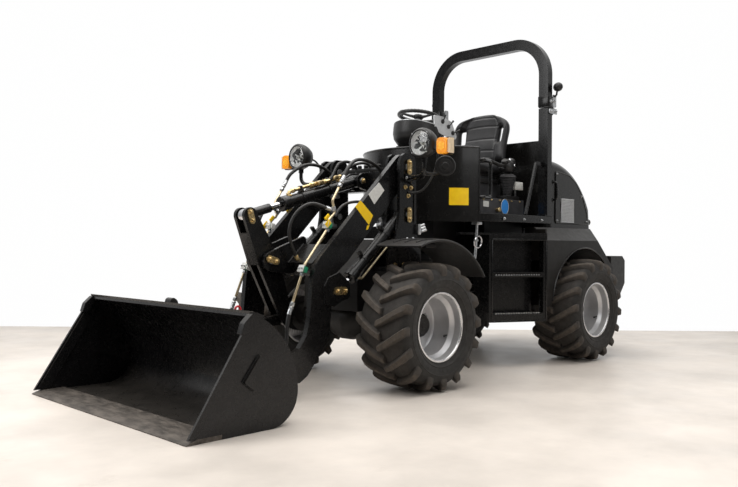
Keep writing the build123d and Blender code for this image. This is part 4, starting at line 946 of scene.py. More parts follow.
# ------------------------------------------------------------------ dash, gauges, steering wheel
dress("dash_console", M_PLASTIC, 8.0, 3)
ND, UD, DC = V(-0.213, 0, 0.977).normalized(), V(0.977, 0, 0.213).normalized(), P(-660, 0, 1706)
# silver disc on the console's sloped top: painted reflection of the bright room on the black console
pan, gau, dial, need = Piece("dash_top_painted_reflection", M_SILVER_AND_REFLECTION), Piece("dash_gauges", M_PLASTIC), Piece("gauge_faces", M_WHITE), Piece("gauge_needles", M_ORANGE)
pan.lathe([(0, 0.4), (160, 0.4), (164, 1.5), (165, 6), (161, 9), (154, 9.5), (152, 6), (0, 6)], DC, ND, 56)
for a, b, r in ((-92, -62, 30), (-92, 62, 30), (-118, 0, 22), (70, -85, 22), (70, 85, 22)):
    c = DC + UD * (a / 1000.0) + V(0, b / 1000.0, 0)
    gau.lathe([(0, 5), (r, 5), (r + 2, 8), (r + 2, 15), (r, 17), (r - 4, 17), (r - 5, 11), (0, 11)], c, ND, 28)
    dial.lathe([(0, 11.2), (r - 5.4, 11.2), (r - 5.4, 12.2), (0, 12.2)], c, ND, 28)
    # needles in the glowing amber finish: a painted glow
    need.tube([c + ND * 0.013, c + ND * 0.013 + (UD * 0.6 + V(0, 0.8, 0)) * ((r - 9) / 1000.0)], 0.9, 6)
for k in range(4):
    gau.box((-9, -13, 5), (9, 13, 15), 2, 2, placed(DC + UD * 0.112 + V(0, (-54 + 36 * k) / 1000.0, 0), UD))
AX = V(-0.1476, 0, 0.989).normalized()
boot = Piece("column_boot", M_VINYL)
boot.lathe([(0, -66), (52, -66), (54, -60), (46, -55), (49, -50), (41, -46), (44, -41), (36, -37), (38, -32), (30, -28), (27, -18), (24, -14), (0, -14)], P(-672.6, 0, 1789.6), AX, 32)
pan.done("rear_frame", "zinc_steel")
gau.done("rear_frame", "matte_plastic")
dial.done("rear_frame", "matte_plastic")
need.done("rear_frame", "amber")
boot.done("rear_frame", "matte_plastic")
WC = P(-672.6, 0, 1789.6)
WU, WV = V(0.989, 0, 0.1476).normalized(), V(0, 1, 0)
whl = Piece("steering_wheel_rim", M_PLASTIC)
ring = [WC + (WU * math.cos(2 * math.pi * k / 72) + WV * math.sin(2 * math.pi * k / 72)) * 0.140 for k in range(72)]
whl.tube(ring, 14, 14, closed=True, radii=[13.4 + 0.6 * math.cos(k * math.pi) for k in range(72)])
for k in range(3):
    a = math.radians(90 + 120 * k)
    d = WU * math.cos(a) + WV * math.sin(a)
    whl.tube([WC - AX * 0.008 + d * 0.02, WC - AX * 0.006 + d * 0.07, WC + d * 0.132], 8, 12, radii=[13, 9.5, 8])
whl.lathe([(0, -18), (30, -18), (36, -12), (38, -2), (35, 6), (28, 10), (26, 8), (0, 9)], WC, AX, 36)
ob = whl.done("steering_wheel", "matte_plastic")
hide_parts("steering_wheel")
knob = Piece("steering_spinner", M_PLASTIC)
kc = WC + (WU * 0.2 - WV * 0.98).normalized() * 0.140
knob.lathe([(0, 10), (9, 10), (9, 20), (17, 24), (22, 33), (22, 42), (17, 51), (8, 56), (0, 57)], kc, AX, 24)
knob.done("steering_wheel", "matte_plastic")
# quadrant plate beside the wheel with its levers
quad, ql = Piece("lever_quadrant", M_SILVER_AND_REFLECTION), Piece("quadrant_levers", M_PLASTIC)
quad.slab([P(a, 164, b) for a, b in rounded([(-650, 1680), (-640, 1778), (-735, 1778), (-838, 1750), (-898, 1650), (-880, 1626), (-715, 1652)], 14)], (0, 1, 0), 8, 2)
quad.box((-800, 120, 1655), (-650, 164.5, 1690), 3)
for x, z, dx, dz in ((-735, 1742, -10, 46), (-800, 1712, -36, 44), (-850, 1672, -60, 24)):
    ql.lathe([(0, 0), (16, 0), (16, 5), (12, 8), (0, 8)], P(x, 172, z), (0, 1, 0), 18)
    ql.tube([P(x, 176, z), P(x + dx * 0.5, 184, z + dz * 0.5), P(x + dx, 188, z + dz)], 5, 10, radii=[4, 4.5, 8])
quad.done("rear_frame", "zinc_steel")
ql.done("rear_frame", "matte_plastic")

# ------------------------------------------------------------------ seat: crowned pads with bolsters, seams and slots
def pad(name, place, nu, nv, front, back, hole=None):
    """Closed pad: place(a, b) gives the mid surface point and its normal; front and back give heights in mm."""
    bm = bmesh.new()
    fr, bk_ = {}, {}
    for i in range(nu + 1):
        for j in range(nv + 1):
            a, b = -1 + 2 * i / nu, j / nv
            c, n = place(a, b)
            edge = i in (0, nu) or j in (0, nv)
            fr[i, j] = bm.verts.new(c + n * (front(a, b) / 1000.0))
            bk_[i, j] = fr[i, j] if edge else bm.verts.new(c - n * (back(a, b) / 1000.0))
    cut = {(i, j) for i in range(nu) for j in range(nv) if hole and hole(i, j)}
    for i in range(nu):
        for j in range(nv):
            if (i, j) in cut:
                for (p, q, nb) in (((i, j), (i + 1, j), (i, j - 1)), ((i + 1, j), (i + 1, j + 1), (i + 1, j)), ((i + 1, j + 1), (i, j + 1), (i, j + 1)), ((i, j + 1), (i, j), (i - 1, j))):
                    if nb not in cut:
                        bm.faces.new([fr[p], fr[q], bk_[q], bk_[p]])
                continue
            k = [(i, j), (i + 1, j), (i + 1, j + 1), (i, j + 1)]
            bm.faces.new([fr[x] for x in k])
            bm.faces.new([bk_[x] for x in k[::-1]])
    bmesh.ops.recalc_face_normals(bm, faces=list(bm.faces))
    me_ = bpy.data.meshes.new(name)
    bm.to_mesh(me_)
    bm.free()
    me_.polygons.foreach_set("use_smooth", [True] * len(me_.polygons))
    me_.materials.append(M_VINYL)
    o_ = bpy.data.objects.new(name, me_)
    bpy.context.scene.collection.objects.link(o_)
    sub = o_.modifiers.new("soft", "SUBSURF")
    sub.levels = sub.render_levels = 1
    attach(o_, "rear_frame")
    return o_


def bell(x, c, w):
    return math.exp(-((x - c) / w) ** 2)


def step_(x, lo_, hi_):
    t = max(0.0, min(1.0, (x - lo_) / (hi_ - lo_)))
    return t * t * (3 - 2 * t)


def back_place(a, b):
    half = 262 - 10 * math.sin(math.pi * min(1.0, b / 0.62))
    if b > 0.62:
        half = 262 * max(0.0, 1 - ((b - 0.62) / 0.38) ** 3.0) ** 0.5
        half = max(half, 120)
    u = math.copysign(abs(a) ** 0.94, a)
    zz = 1506 + 388 * b - 14 * (abs(a) ** 2.4) * b
    xx = -1392 - 78 * b - 10 * math.sin(math.pi * b) + 34 * abs(a) ** 3
    return P(xx, half * u + 8, zz), V(0.978, 0, 0.21)


def by_slot(a, b):
    return 1 - 0.84 * step_(0.2 - abs(abs(a) - 0.70), 0.02, 0.14) * step_(0.22 - abs(b - 0.55), 0.0, 0.1)


def round_off(a, b):
    return (max(0.0, 1 - abs(a) ** 7) * max(0.0, 1 - abs(2 * b - 1) ** 10)) ** 0.5


def back_front(a, b):
    side = step_(abs(a), 0.56, 0.72) * (1 - step_(b, 0.86, 0.99))
    h = 30 + 30 * side + 10 * bell(b, 0.3, 0.2) * (1 - side)
    seam = 9 * bell(abs(a), 0.57, 0.022) * (1 - step_(b, 0.9, 0.98))
    for k in (0.18, 0.42, 0.68, 0.86):
        seam += 6.5 * bell(b + 0.05 * a * a, k + 0.05, 0.012) * (1 if abs(a) < 0.57 else 0)
    return max(0.0, (h - seam)) * round_off(a, b) * by_slot(a, b)


def back_rear(a, b):
    return 36 * round_off(a, b) * by_slot(a, b)


NU, NV = 56, 60
back_obj = pad("seat_back_pad", back_place, NU, NV, back_front, back_rear,
               hole=lambda i, j: (6 <= i <= 10 or NU - 11 <= i <= NU - 7) and 25 <= j <= 41)
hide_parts("seat_back")


def seat_place(a, b):
    half = 250 - 9 * math.sin(math.pi * b) - 16 * step_(b, 0.86, 1.0)
    xx = -1402 + 436 * b - 14 * (abs(a) ** 3) * (1 if b > 0.5 else -1) * abs(2 * b - 1) ** 2
    return P(xx, half * a, 1444 + 12 * b - 10 * bell(b, 0.4, 0.3)), V(0, 0, 1)


def seat_top(a, b):
    side = step_(abs(a), 0.58, 0.74) * (1 - step_(b, 0.84, 0.98))
    h = 34 + 22 * side + 12 * bell(b, 0.86, 0.16)
    seam = 8 * bell(abs(a), 0.58, 0.022) * (1 - step_(b, 0.9, 0.98))
    for k in (0.3, 0.55, 0.8):
        seam += 6 * bell(b + 0.05 * a * a, k + 0.04, 0.012) * (1 if abs(a) < 0.58 else 0)
    return max(0.0, h - seam) * round_off(a, b)


cush = pad("seat_cushion_pad", seat_place, NU, NV, seat_top, lambda a, b: 46 * round_off(a, b))
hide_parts("seat_cushion")
shellp = Piece("seat_pan", M_PLASTIC)
shellp.box((-1385, -205, 1386), (-985, 205, 1404), 6)
shellp.box((-1440, -150, 1392), (-1384, 150, 1412), 5)
shellp.slab([P(a, -130, b) for a, b in ((-1418, 1396), (-1440, 1400), (-1466, 1640), (-1450, 1640))], (0, 1, 0), 34, 3)
shellp.slab([P(a, 96, b) for a, b in ((-1418, 1396), (-1440, 1400), (-1466, 1640), (-1450, 1640))], (0, 1, 0), 34, 3)
shellp.box((-1330, 200, 1330), (-1090, 232, 1362), 4)
shellp.tube(route([(-1110, 216, 1346), (-1010, 226, 1346), (-960, 226, 1352)], 20), 6, 10)
shellp.done("rear_frame", "matte_plastic")

# ------------------------------------------------------------------ levers and the console beside the seat
lev, bel, lk = Piece("lever_bases", M_PLASTIC), Piece("lever_bellows", M_GREY), Piece("lever_chrome", M_CHROME)
lev.box((-1445, 262, 1208.2), (-1265, 346, 1236), 4)
prof = [(0, 1232)]
for k in range(13):
    z, r = 1236 + 11.6 * k, 24 + 2.7 * k
    prof += [(r, z), (r + 7.5, z + 4), (r + 7.5, z + 7), (r, z + 11)]
prof += [(56, 1392), (30, 1404), (0, 1404)]
bel.lathe([(r, z - 1232) for r, z in prof], P(-1338, 308, 1232), V(0.02, 0.06, 1), 32)
lev.lathe([(0, -44), (26, -44), (44, -34), (54, -16), (56, 6), (50, 26), (36, 42), (16, 50), (0, 51)], P(-1326, 316, 1456), V(0.15, 0.1, 1), 28)
lev.lathe([(0, -20), (30, -18), (37, -4), (34, 12), (20, 24), (0, 26)], P(-1368, 322, 1494), V(-0.4, 0.2, 1), 24)
lev.lathe([(0, -16), (24, -14), (29, 0), (25, 12), (12, 20), (0, 21)], P(-1282, 326, 1490), V(0.5, 0.2, 1), 24)
lk.lathe([(0, 0), (11, 0), (11, 8), (7, 11), (0, 11)], P(-1306, 352, 1502), V(0.2, 0.8, 0.6), 18)
lk.lathe([(0, 0), (9, 0), (9, 8), (6, 10), (0, 10)], P(-1344, 366, 1462), V(0.1, 0.95, 0.3), 18)
lk.tube(route([(-1262, 330, 1440), (-1214, 332, 1446), (-1180, 332, 1440)], 10), 7, 12)
lev.tube(route([(-1290, 328, 1462), (-1219, 332, 1456), (-1072, 332, 1484), (-948, 332, 1470)], 40, 8), 13, 14)
lev.tube([P(-1075, 332, 1484), P(-1070, 332, 1484), P(-1012, 332, 1480), P(-955, 332, 1471), P(-950, 332, 1470)], 17, 16, radii=[13, 18, 19, 18, 13])
lk.lathe([(0, 0), (12, 0), (12, 6), (8, 9), (0, 9)], P(-946, 332, 1470), V(1, 0, -0.1), 16)
# right hand console and joystick
lev.slab([P(a, -346, b) for a, b in rounded([(-1320, 1208.3), (-1320, 1392), (-1290, 1420), (-1090, 1420), (-1060, 1396), (-1060, 1208.3)], 18)], (0, 1, 0), 78, 6, 3)
bel.lathe([(0, 0), (40, 0)] + [(40 - 2.2 * k + (3 if k % 2 else 0), 4 + 5.5 * k) for k in range(11)] + [(14, 64), (0, 64)], P(-1100, -306, 1418), V(0.12, 0, 1), 28)
lk.tube([P(-1096, -306, 1470), P(-1086, -305, 1556)], 7, 12)
lev.lathe([(0, -22), (11, -22), (22, -14), (29, 0), (30, 14), (26, 28), (15, 37), (0, 40)], P(-1083, -305, 1572), V(0.08, 0, 1), 24)
for k in range(3):
    lev.box((-1270 + 44 * k, -322, 1419), (-1244 + 44 * k, -294, 1432), 3)
ob = lev.done("rear_frame", "matte_plastic")
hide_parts("control_levers")
bel.done("rear_frame", "matte_plastic")
lk.done("rear_frame", "chrome_rod")
wbox, brk = Piece("relay_box", M_WHITE), Piece("relay_bracket", M_ZINC)
wbox.box((-1486, 318, 1286), (-1386, 352, 1346), 5, 3)
wbox.box((-1478, 351, 1294), (-1394, 355, 1338), 2)
brk.box((-1446, 312, 1206), (-1426, 318.5, 1330), 1.5)
brk.box((-1446, 300, 1206), (-1426, 318, 1212), 1.5)
brk.bolt(P(-1436, 309, 1212), (0, 0, 1), 10, 6)
for x in (-1460, -1412):
    brk.bolt(P(x, 355, 1316), (0, 1, 0), 6, 3, washer=False)
wbox.done("rear_frame", "matte_plastic")
brk.done("rear_frame", "zinc_steel")
blue, lab, pk2 = Piece("plinth_oval", M_BLUE), Piece("plinth_label", M_WHITE), Piece("plinth_knob", M_GOLD)
blue.slab(disc(P(-1248, 350.2, 1152), (1, 0, 0), (0, 0, 1), 44, 36, 52), (0, 1, 0), 1.6, 0.5)
lab.slab([P(a, 350.2, b) for a, b in rounded([(-1047, 1143), (-980, 1145), (-980, 1186), (-1047, 1184)], 4)], (0, 1, 0), 1.4, 0.4)
ringp = [P(-1248 + 48 * math.cos(2 * math.pi * k / 48), 351.6, 1152 + 56 * math.sin(2 * math.pi * k / 48)) for k in range(48)]
lab.tube(ringp, 1.6, 6, closed=True)
pk2.lathe([(0, 0), (12, 0), (14, 4), (14, 14), (18, 18), (18, 26), (13, 30), (0, 30)], P(-1146, 350, 1126), (0, 1, 0), 20)
for x in (-980, -1080, -1180, -1330, -1440):
    pk2.bolt(P(x, 350.2, 1196), (0, 1, 0), 8, 5)
blue.done("rear_frame", "matte_plastic")
lab.done("rear_frame", "matte_plastic")
pk2.done("rear_frame", "zinc_steel")

# ------------------------------------------------------------------ tub: plate, grab loops, deck edge, mat, pedals
TC = (-925.0, 0.0)
ylw = Piece("tub_plate", M_YELLOW)
vs, fs, NA = [], [], 12
for k in range(NA + 1):
    a = math.radians(45.2 + 13.4 * k / NA)
    for rr in (571.4, 573.0):
        for z in (1134, 1250):
            vs.append(P(TC[0] + rr * math.cos(a), rr * math.sin(a), z))
for k in range(NA):
    o_, q_ = 4 * k, 4 * k + 4
    fs += [[o_ + 2, o_ + 3, q_ + 3, q_ + 2], [o_, q_, q_ + 1, o_ + 1], [o_ + 1, q_ + 1, q_ + 3, o_ + 3], [o_, o_ + 2, q_ + 2, q_]]
fs += [[0, 1, 3, 2], [4 * NA, 4 * NA + 2, 4 * NA + 3, 4 * NA + 1]]
ylw.add(vs, fs)
ylw.done("rear_frame", "matte_plastic")
hand = Piece("grab_handles", M_PAINT)
hand.tube(route([(-706, 514, 1442), (-716, 546, 1446), (-846, 508, 1446), (-850, 506, 1400), (-850, 506, 1240), (-846, 508, 1196), (-716, 546, 1192), (-706, 514, 1190)], 34, 8), 12, 14)
mirror(hand).done("rear_frame", "black_paint")
rollp = Piece("tub_rolled_edge", M_PANEL)
for z in (1526.5,):
    rollp.tube([P(TC[0] + 570 * math.cos(math.radians(-66 + 132 * k / 60)), 570 * math.sin(math.radians(-66 + 132 * k / 60)), z) for k in range(61)], 7, 10)
for s in SIDES:
    a = math.radians(66.6 * s)
    rollp.tube([P(TC[0] + 569.5 * math.cos(a), 569.5 * math.sin(a), z) for z in (1030, 1200, 1400, 1524)], 6, 10)
rollp.done("rear_frame", "black_paint")
dbolt = Piece("deck_bolts", M_ZINC)
for x in (-944, -1190, -1421):
    dbolt.bolt(P(x, 555.2, 1052), (0, 1, 0), 14, 8)
mirror(dbolt).done("rear_frame", "zinc_steel")
mat = Piece("deck_mat", M_RUBMAT)
mat.slab([P(a, b, 1085.2) for a, b in rounded([(-945, -330), (-520, -330), (-440, -220), (-440, 220), (-520, 330), (-945, 330)], 30)], (0, 0, 1), 4, 1)
for k in range(22):
    mat.box((-936 + 18 * k, -310, 1089), (-929 + 18 * k, 310, 1091.5), 0.8, 1)
mat.done("rear_frame", "matte_plastic")
ped = Piece("pedals", M_RUBMAT)
parm = Piece("pedal_arms", M_ZINC)
for y in (-190, 150):
    ped.box((-30, -45, -5), (50, 45, 6), 4, 2, placed(P(-560, y, 1150), V(0.8, 0, 0.6)))
    for k in range(5):
        ped.box((-24 + 15 * k, -40, 5), (-17 + 15 * k, 40, 9), 1, 1, placed(P(-560, y, 1150), V(0.8, 0, 0.6)))
    parm.tube([P(-552, y, 1146), P(-510, y, 1110), P(-470, y, 1088)], 8, 10)
    parm.box((-500, y - 26, 1085.3), (-440, y + 26, 1094), 2)
ped.done("rear_frame", "matte_plastic")
parm.done("rear_frame", "zinc_steel")

# ------------------------------------------------------------------ steps: toothed treads on the pocket lips, lock pin
SU, SN = V(0.894, -0.448, 0).normalized(), V(0.448, 0.894, 0).normalized()
tread, trim = Piece("step_treads", M_ZINC), Piece("step_trim", M_PAINT)
for z, l0, l1 in ((381, 60, 415), (652, 60, 415)):
    m = placed(P(-1315, 671, z), SU, SN)
    trim.box((l0 - 12, -24, -7), (l1 + 8, 5, 3), 2, 2, m)
    k = l0
    while k < l1:
        tread.slab([m @ V(k, -10, 2.5), m @ V(k + 13, -10, 2.5), m @ V(k + 10, -10, 10), m @ V(k + 3, -10, 10)], SN, 12, 0.8, 1)
        k += 20
for z in (331, 908):
    trim.box((6, -6, -6), (440, 5, 6), 2, 2, placed(P(-1315, 671, z), SU, SN))
for l in (6, 440):
    trim.box((l - 5, -6, 330 - 600), (l + 5, 5, 905 - 600), 2, 2, placed(P(-1315, 671, 600), SU, SN))
mirror(tread).done("rear_frame", "zinc_steel")
mirror(trim).done("rear_frame", "black_paint")
pin, rg = Piece("lock_pin", M_ZINC), Piece("lock_ring", M_CHROME)
pin.tube([P(-735, 480, 1026), P(-728, 480, 930), P(-718, 480, 800), P(-712, 480, 774)], 9, 14)
pin.box((-760, 455, 1006), (-706, 505, 1025.6), 3)
pin.lathe([(0, 0), (16, 0), (16, 10), (11, 14), (0, 14)], P(-726, 480, 905), V(0.07, 0, -1), 16)
rg.tube([P(-730 + 40 * math.cos(2 * math.pi * k / 40), 492 + 6 * math.sin(2 * math.pi * k / 40), 888 + 40 * math.sin(2 * math.pi * k / 40)) for k in range(40)], 5, 10, closed=True)
pin.done("rear_frame", "zinc_steel")
rg.done("rear_frame", "chrome_rod")

# ------------------------------------------------------------------ roll-over hoop: sleeves, hinge plates, knobs
slv, hp, hk, hz = Piece("hoop_sleeves", M_PAINT), Piece("hoop_hinge_plates", M_ZINC), Piece("hoop_knobs", M_PLASTIC), Piece("post_hinge_plates", M_ZINC)
slv.box((-1557, 475, 1905), (-1489, 563, 1984), 3)
hp.slab([P(a, 559.3, b) for a, b in rounded([(-1604, 1906), (-1556, 1906), (-1556, 2000), (-1604, 2000)], 12)], (0, 1, 0), 3.6, 1)
hp.slab([P(a, 474, b) for a, b in rounded([(-1604, 1906), (-1556, 1906), (-1556, 2000), (-1604, 2000)], 12)], (0, 1, 0), 5, 1.2)
hp.bolt(P(-1574, 562.9, 1950), (0, 1, 0), 16, 9)
hp.bolt(P(-1522, 563, 1944), (0, 1, 0), 17, 9)
hk.tube([P(-1582, 564, 1984), P(-1582, 578, 2000), P(-1582, 583, 2032)], 7, 12)
hk.lathe([(0, -38), (12, -36), (24, -28), (32, -14), (34, 0), (32, 14), (24, 27), (12, 35), (0, 37)], P(-1582, 590, 2056), (0.3, 1, 0.1), 26)
hz.slab([P(a, 565.6, b) for a, b in rounded([(-1604, 1852), (-1500, 1852), (-1500, 1886), (-1566, 1893), (-1604, 1893)], 8)], (0, 1, 0), 4, 1)
hz.box((-1548, 558.6, 1858), (-1504, 566, 1882), 1.5)
hz.bolt(P(-1584, 569.6, 1874), (0, 1, 0), 15, 8)
hz.bolt(P(-1524, 569.6, 1870), (0, 1, 0), 15, 8)
mirror(slv).done("rops_hoop", "black_paint")
mirror(hp).done("rops_hoop", "zinc_steel")
mirror(hk).done("rops_hoop", "matte_plastic")
mirror(hz).done("rear_frame", "zinc_steel")

# ------------------------------------------------------------------ hood: side panels, mesh, handles, louvres, tail lamps
pnl, wire2, grille_shade, hdl = Piece("hood_side_panels", M_PANEL), Piece("hood_mesh", M_SILVER_AND_REFLECTION), Piece("hood_grille_painted_shade", M_RUBMAT), Piece("hood_handles", M_PAINT)
side_line = rounded([(-1700, 1440), (-1900, 1418), (-2010, 1362), (-2110, 1262), (-2178, 1120), (-2196, 1040), (-1700, 1040)], 26)
pnl.slab([P(a, 500.2, b) for a, b in side_line], (0, 1, 0), 4, 1.6)
pnl.tube([P(a, 503.5, b) for a, b in side_line], 4.5, 8, closed=True)
# black matte sheet behind the grille mesh: painted shade of the opening into the engine bay
grille_shade.slab([P(a, 504.1, b) for a, b in rounded([(-1966, 1052), (-1780, 1052), (-1780, 1228), (-1966, 1228)], 8)], (0, 1, 0), 1.2, 0.3)
for k in range(16):
    x = -1962 + 12.0 * k
    wire2.tube([P(x, 507.2, 1054), P(x, 507.2, 1226)], 2.3, 6)
    wire2.tube([P(-1964, 506.4, 1056 + 11.1 * k), P(-1782, 506.4, 1056 + 11.1 * k)], 2.3, 6)
fr_ = [(-1968, 1050), (-1778, 1050), (-1778, 1230), (-1968, 1230), (-1968, 1050)]
wire2.tube([P(a, 507, b) for a, b in fr_[:4]], 4, 8, closed=True)
hdl.tube(route([(-1668, 499, 1216), (-1668, 534, 1222), (-1668, 534, 1348), (-1668, 499, 1354)], 22), 9, 12)
for z in (1216, 1354):
    hdl.lathe([(0, 0), (17, 0), (17, 4), (14, 6), (0, 6)], P(-1668, 500, z), (0, 1, 0), 18)
for pc, sl in ((pnl, "black_paint"), (wire2, "zinc_steel"), (grille_shade, "matte_plastic"), (hdl, "black_paint")):
    mirror(pc).done("rear_frame", sl)
hb = Piece("hood_bolts", M_ZINC)
for x, z in ((-1716, 1420), (-1716, 1060), (-2170, 1060), (-2090, 1262)):
    hb.bolt(P(x, 504.2, z), (0, 1, 0), 11, 6)
mirror(hb).done("rear_frame", "zinc_steel")
louv = Piece("tail_louvres", M_PLASTIC)
for k in range(6):
    z = 1022 + 23 * k
    x = -2268 + 18 * (z - 1003) / 162.0
    m = placed(P(x, 0, z), V(-0.8, 0, -0.6))
    louv.box((-8, -330, -2.5), (20, 330, 2.5), 1.5, 2, m)
louv.done("rear_frame", "matte_plastic")
rad, radf = Piece("radiator_core", M_ENGINE), Piece("radiator_guard", M_PAINT)
rad.box((-2272, -300, 796), (-2236, 300, 996), 4)
for k in range(60):
    rad.box((-2276, -296 + 10 * k, 800), (-2270, -293.5 + 10 * k, 992), 0.6, 1)
for z in (800, 840, 880, 920, 960, 994):
    radf.tube([P(-2286, -320, z), P(-2286, 320, z)], 6, 10)
for y in (-322, -110, 110, 322):
    radf.tube([P(-2286, y, 786), P(-2286, y, 1002)], 8, 10)
rad.done("rear_frame", "cast_black")
radf.done("rear_frame", "black_paint")
tlb, tlr, tla = Piece("tail_lamp_bodies", M_PLASTIC), Piece("tail_lamps_red", M_REDLENS), Piece("tail_lamps_amber", M_AMBER)
for y, pc in ((410, tlr), (462, tla)):
    tlb.lathe([(0, -26), (24, -26), (26, -20), (26, 8), (23, 12), (0, 12)], P(-2262, y, 1060), (-1, 0, 0), 24)
    pc.lathe([(0, 8), (22, 8), (22, 16), (18, 22), (9, 25), (0, 26)], P(-2262, y, 1060), (-1, 0, 0), 24)
mirror(tlb).done("rear_frame", "matte_plastic")
mirror(tlr).done("rear_frame", "amber")
mirror(tla).done("rear_frame", "amber")
exh = Piece("exhaust_stack", M_PAINT)
exh.lathe([(0, 0), (52, 0), (52, 6), (30, 8), (28, 14), (28, 72), (26, 78), (22, 78), (22, 30), (0, 30)], P(-1800, -300, 1478), (0, 0, 1), 28)
exh.done("rear_frame", "black_paint")

# ------------------------------------------------------------------ rolled edges, fender bolts, bucket details
roll = Piece("wing_rolled_edges", M_PANEL)
roll.tube([P(REAR_X + 468 * math.cos(math.radians(10 + 152 * k / 60)), 671, 383 + 468 * math.sin(math.radians(10 + 152 * k / 60))) for k in range(61)], 6, 10)
mirror(roll).done("rear_frame", "black_paint")
froll = Piece("fender_rolled_edges", M_PLASTIC)
for y in (769, 426):
    froll.tube([P(511 * math.cos(math.radians(68 + 78 * k / 50)), y, 383 + 511 * math.sin(math.radians(68 + 78 * k / 50))) for k in range(51)], 8, 10)
for k in range(3):
    froll.tube([P(519 * math.cos(math.radians(74 + 66 * j / 40)), 520 + 90 * k, 383 + 519 * math.sin(math.radians(74 + 66 * j / 40))) for j in range(41)], 5, 8)
mirror(froll).done("front_frame", "matte_plastic")
fb = Piece("fender_bolts", M_ZINC)
for x in (-88, -32):
    fb.bolt(P(x, 470, 899.5), (0, 0, 1), 14, 8)
mirror(fb).done("front_frame", "zinc_steel")
bd = Piece("bucket_wear_pads", M_BUCKET)
bd.slab([P(a, 804.2, b) for a, b in rounded([(1362, 356), (1306, 313), (1393, 191), (1453, 238)], 8)], (0, 1, 0), 17, 3)
mirror(bd).done("bucket", "bucket_black")
bwl = Piece("bucket_welds", M_WELD)
pad_line = [(1362, 356), (1306, 313), (1393, 191), (1453, 238), (1362, 356)]
bwl.weld([P(a, 805, b) for a, b in pad_line], 4)
mirror(bwl).done("bucket", "bucket_black")
cp = Piece("bucket_corner_plates", M_BUCKET)
cp.slab([P(x, 770, z) for x, z in rounded([(1384, 548), (1402, 546), (1446, 506), (1462, 456), (1432, 448), (1366, 530)], 5)], (0, 1, 0), 36, 2.5)
cp.slab([P(x, 776, z) for x, z in rounded([(1446, 452), (1718, 30), (1652, 30), (1398, 424)], 5)], (0, 1, 0), 14, 2)
mirror(cp).done("bucket", "bucket_black")
hump, hook = Piece("bucket_top_lug", M_BUCKET), Piece("bucket_hooks", M_RED)
hump.slab([P(a, 30, b) for a, b in rounded([(1338, 534), (1392, 550), (1386, 574), (1368, 582), (1346, 566)], 8)], (0, 1, 0), 54, 4)
for y in (625,):
    hook.tube([P(1352 + 15 * math.cos(math.radians(a)), y, 553 + 15 * math.sin(math.radians(a))) for a in range(-40, 221, 13)], 5.5, 10)
    hook.box((1334, y - 16, 534), (1372, y + 16, 546), 2, 2)
hump.done("bucket", "bucket_black")
hook.done("bucket", "worn_steel")


# ------------------------------------------------------------------ stage, light, camera
CAM = V(3.9635, 3.6795, 0.8703)
FWD = V(-0.7128, -0.7014, 0.0005).normalized()
RIGHT = V(-0.7014, 0.7128, 0.0).normalized()
UP = RIGHT.cross(FWD)
roll = math.radians(0.4)
r2 = RIGHT * math.cos(roll) + UP * math.sin(roll)
u2 = RIGHT * -math.sin(roll) + UP * math.cos(roll)
cd = bpy.data.cameras.new("camera")
cd.lens, cd.sensor_width, cd.sensor_fit = 38.0, 36.0, "HORIZONTAL"
cam = bpy.data.objects.new("camera", cd)
bpy.context.scene.collection.objects.link(cam)
cam.matrix_world = Matrix(((r2.x, u2.x, -FWD.x, CAM.x), (r2.y, u2.y, -FWD.y, CAM.y), (r2.z, u2.z, -FWD.z, CAM.z), (0, 0, 0, 1)))
cd.clip_end = 200
bpy.context.scene.camera = cam

flat_f = V(FWD.x, FWD.y, 0).normalized()
flat_r = V(RIGHT.x, RIGHT.y, 0).normalized()
ground = V(CAM.x, CAM.y, 0)
me = bpy.data.meshes.new("floor")
NX, NY = 24, 24
fv, ff = [], []
for j in range(NY + 1):
    for i in range(NX + 1):
        fv.append(ground + flat_r * (-9 + 18 * i / NX) + flat_f * (-4.0 + 12.0 * j / NY) + V(0, 0, -0.0006))
for j in range(NY):
    for i in range(NX):
        a = j * (NX + 1) + i
        ff.append([a, a + 1, a + NX + 2, a + NX + 1])
me.from_pydata(fv, [], ff)
floor = bpy.data.objects.new("floor", me)
bpy.context.scene.collection.objects.link(floor)
me.materials.append(finish("concrete", (0.66, 0.60, 0.54), 0.42, var=0.12, scale=1.3, rough_var=0.1, bump=0.05, bump_scale=60,
                           wear=0.45, wear_colour=(0.5, 0.44, 0.38), wear_scale=3.2, spec=0.35))

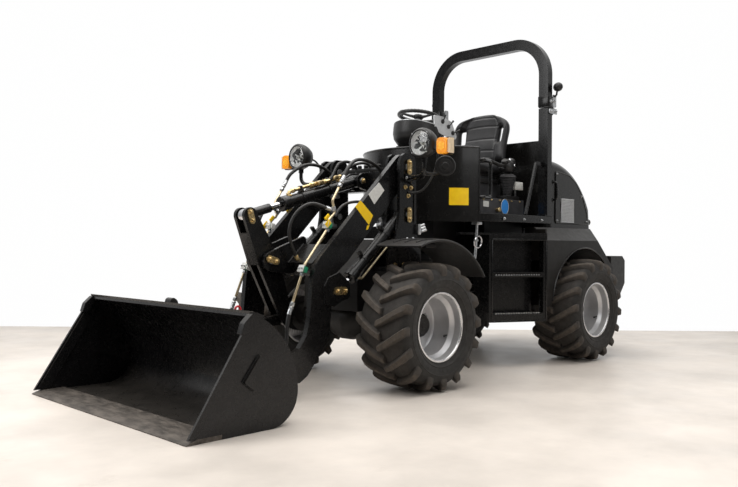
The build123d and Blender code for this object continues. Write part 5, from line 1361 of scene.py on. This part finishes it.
world = bpy.data.worlds.new("studio")
bpy.context.scene.world = world
world.use_nodes = True
nt = world.node_tree
nt.nodes.clear()
wo, bg, tcw = nt.nodes.new("ShaderNodeOutputWorld"), nt.nodes.new("ShaderNodeBackground"), nt.nodes.new("ShaderNodeTexCoord")
dot, rp = nt.nodes.new("ShaderNodeVectorMath"), nt.nodes.new("ShaderNodeValToRGB")
dot.operation = "DOT_PRODUCT"
dot.inputs[1].default_value = (flat_f.x, flat_f.y, 0.12)
mr = nt.nodes.new("ShaderNodeMapRange")
mr.inputs["From Min"].default_value, mr.inputs["From Max"].default_value = -1.0, 1.0
el = rp.color_ramp.elements
for e, (pos, g) in zip([el[0], el[1], el.new(0.5), el.new(0.5)], ((0.0, 0.07), (1.0, 1.0), (0.45, 0.12), (0.8, 0.98))):
    e.position, e.color = pos, (g, g, g * 0.995, 1)
nt.links.new(tcw.outputs["Generated"], dot.inputs[0])
nt.links.new(dot.outputs["Value"], mr.inputs["Value"])
nt.links.new(mr.outputs[0], rp.inputs["Fac"])
nt.links.new(rp.outputs["Color"], bg.inputs["Color"])
bg.inputs["Strength"].default_value = 1.0
nt.links.new(bg.outputs[0], wo.inputs[0])


def area(name, loc, target, size, power, colour=(1, 1, 1)):
    d = bpy.data.lights.new(name, "AREA")
    d.shape, d.size, d.size_y = "RECTANGLE", size[0], size[1]
    d.energy, d.color = power, colour
    o = bpy.data.objects.new(name, d)
    bpy.context.scene.collection.objects.link(o)
    o.location = loc
    o.rotation_mode = "QUATERNION"
    o.rotation_quaternion = (Vector(target) - Vector(loc)).to_track_quat("-Z", "Y")
    return o


area("ceiling", (0.6, 0.2, 5.2), (0.0, 0.0, 0.0), (6.5, 6.5), 400, (1.0, 0.985, 0.965))
area("front_left", (4.4, -1.6, 3.2), (0.4, 0.0, 0.8), (2.2, 2.2), 70)
area("left_fill", (0.2, 5.2, 3.0), (-0.6, 0.4, 0.9), (2.6, 2.2), 42)

sc = bpy.context.scene
sc.view_settings.view_transform = "Standard"
sc.view_settings.look = "None"
sc.view_settings.exposure = 0.0
sc.view_settings.gamma = 1.0
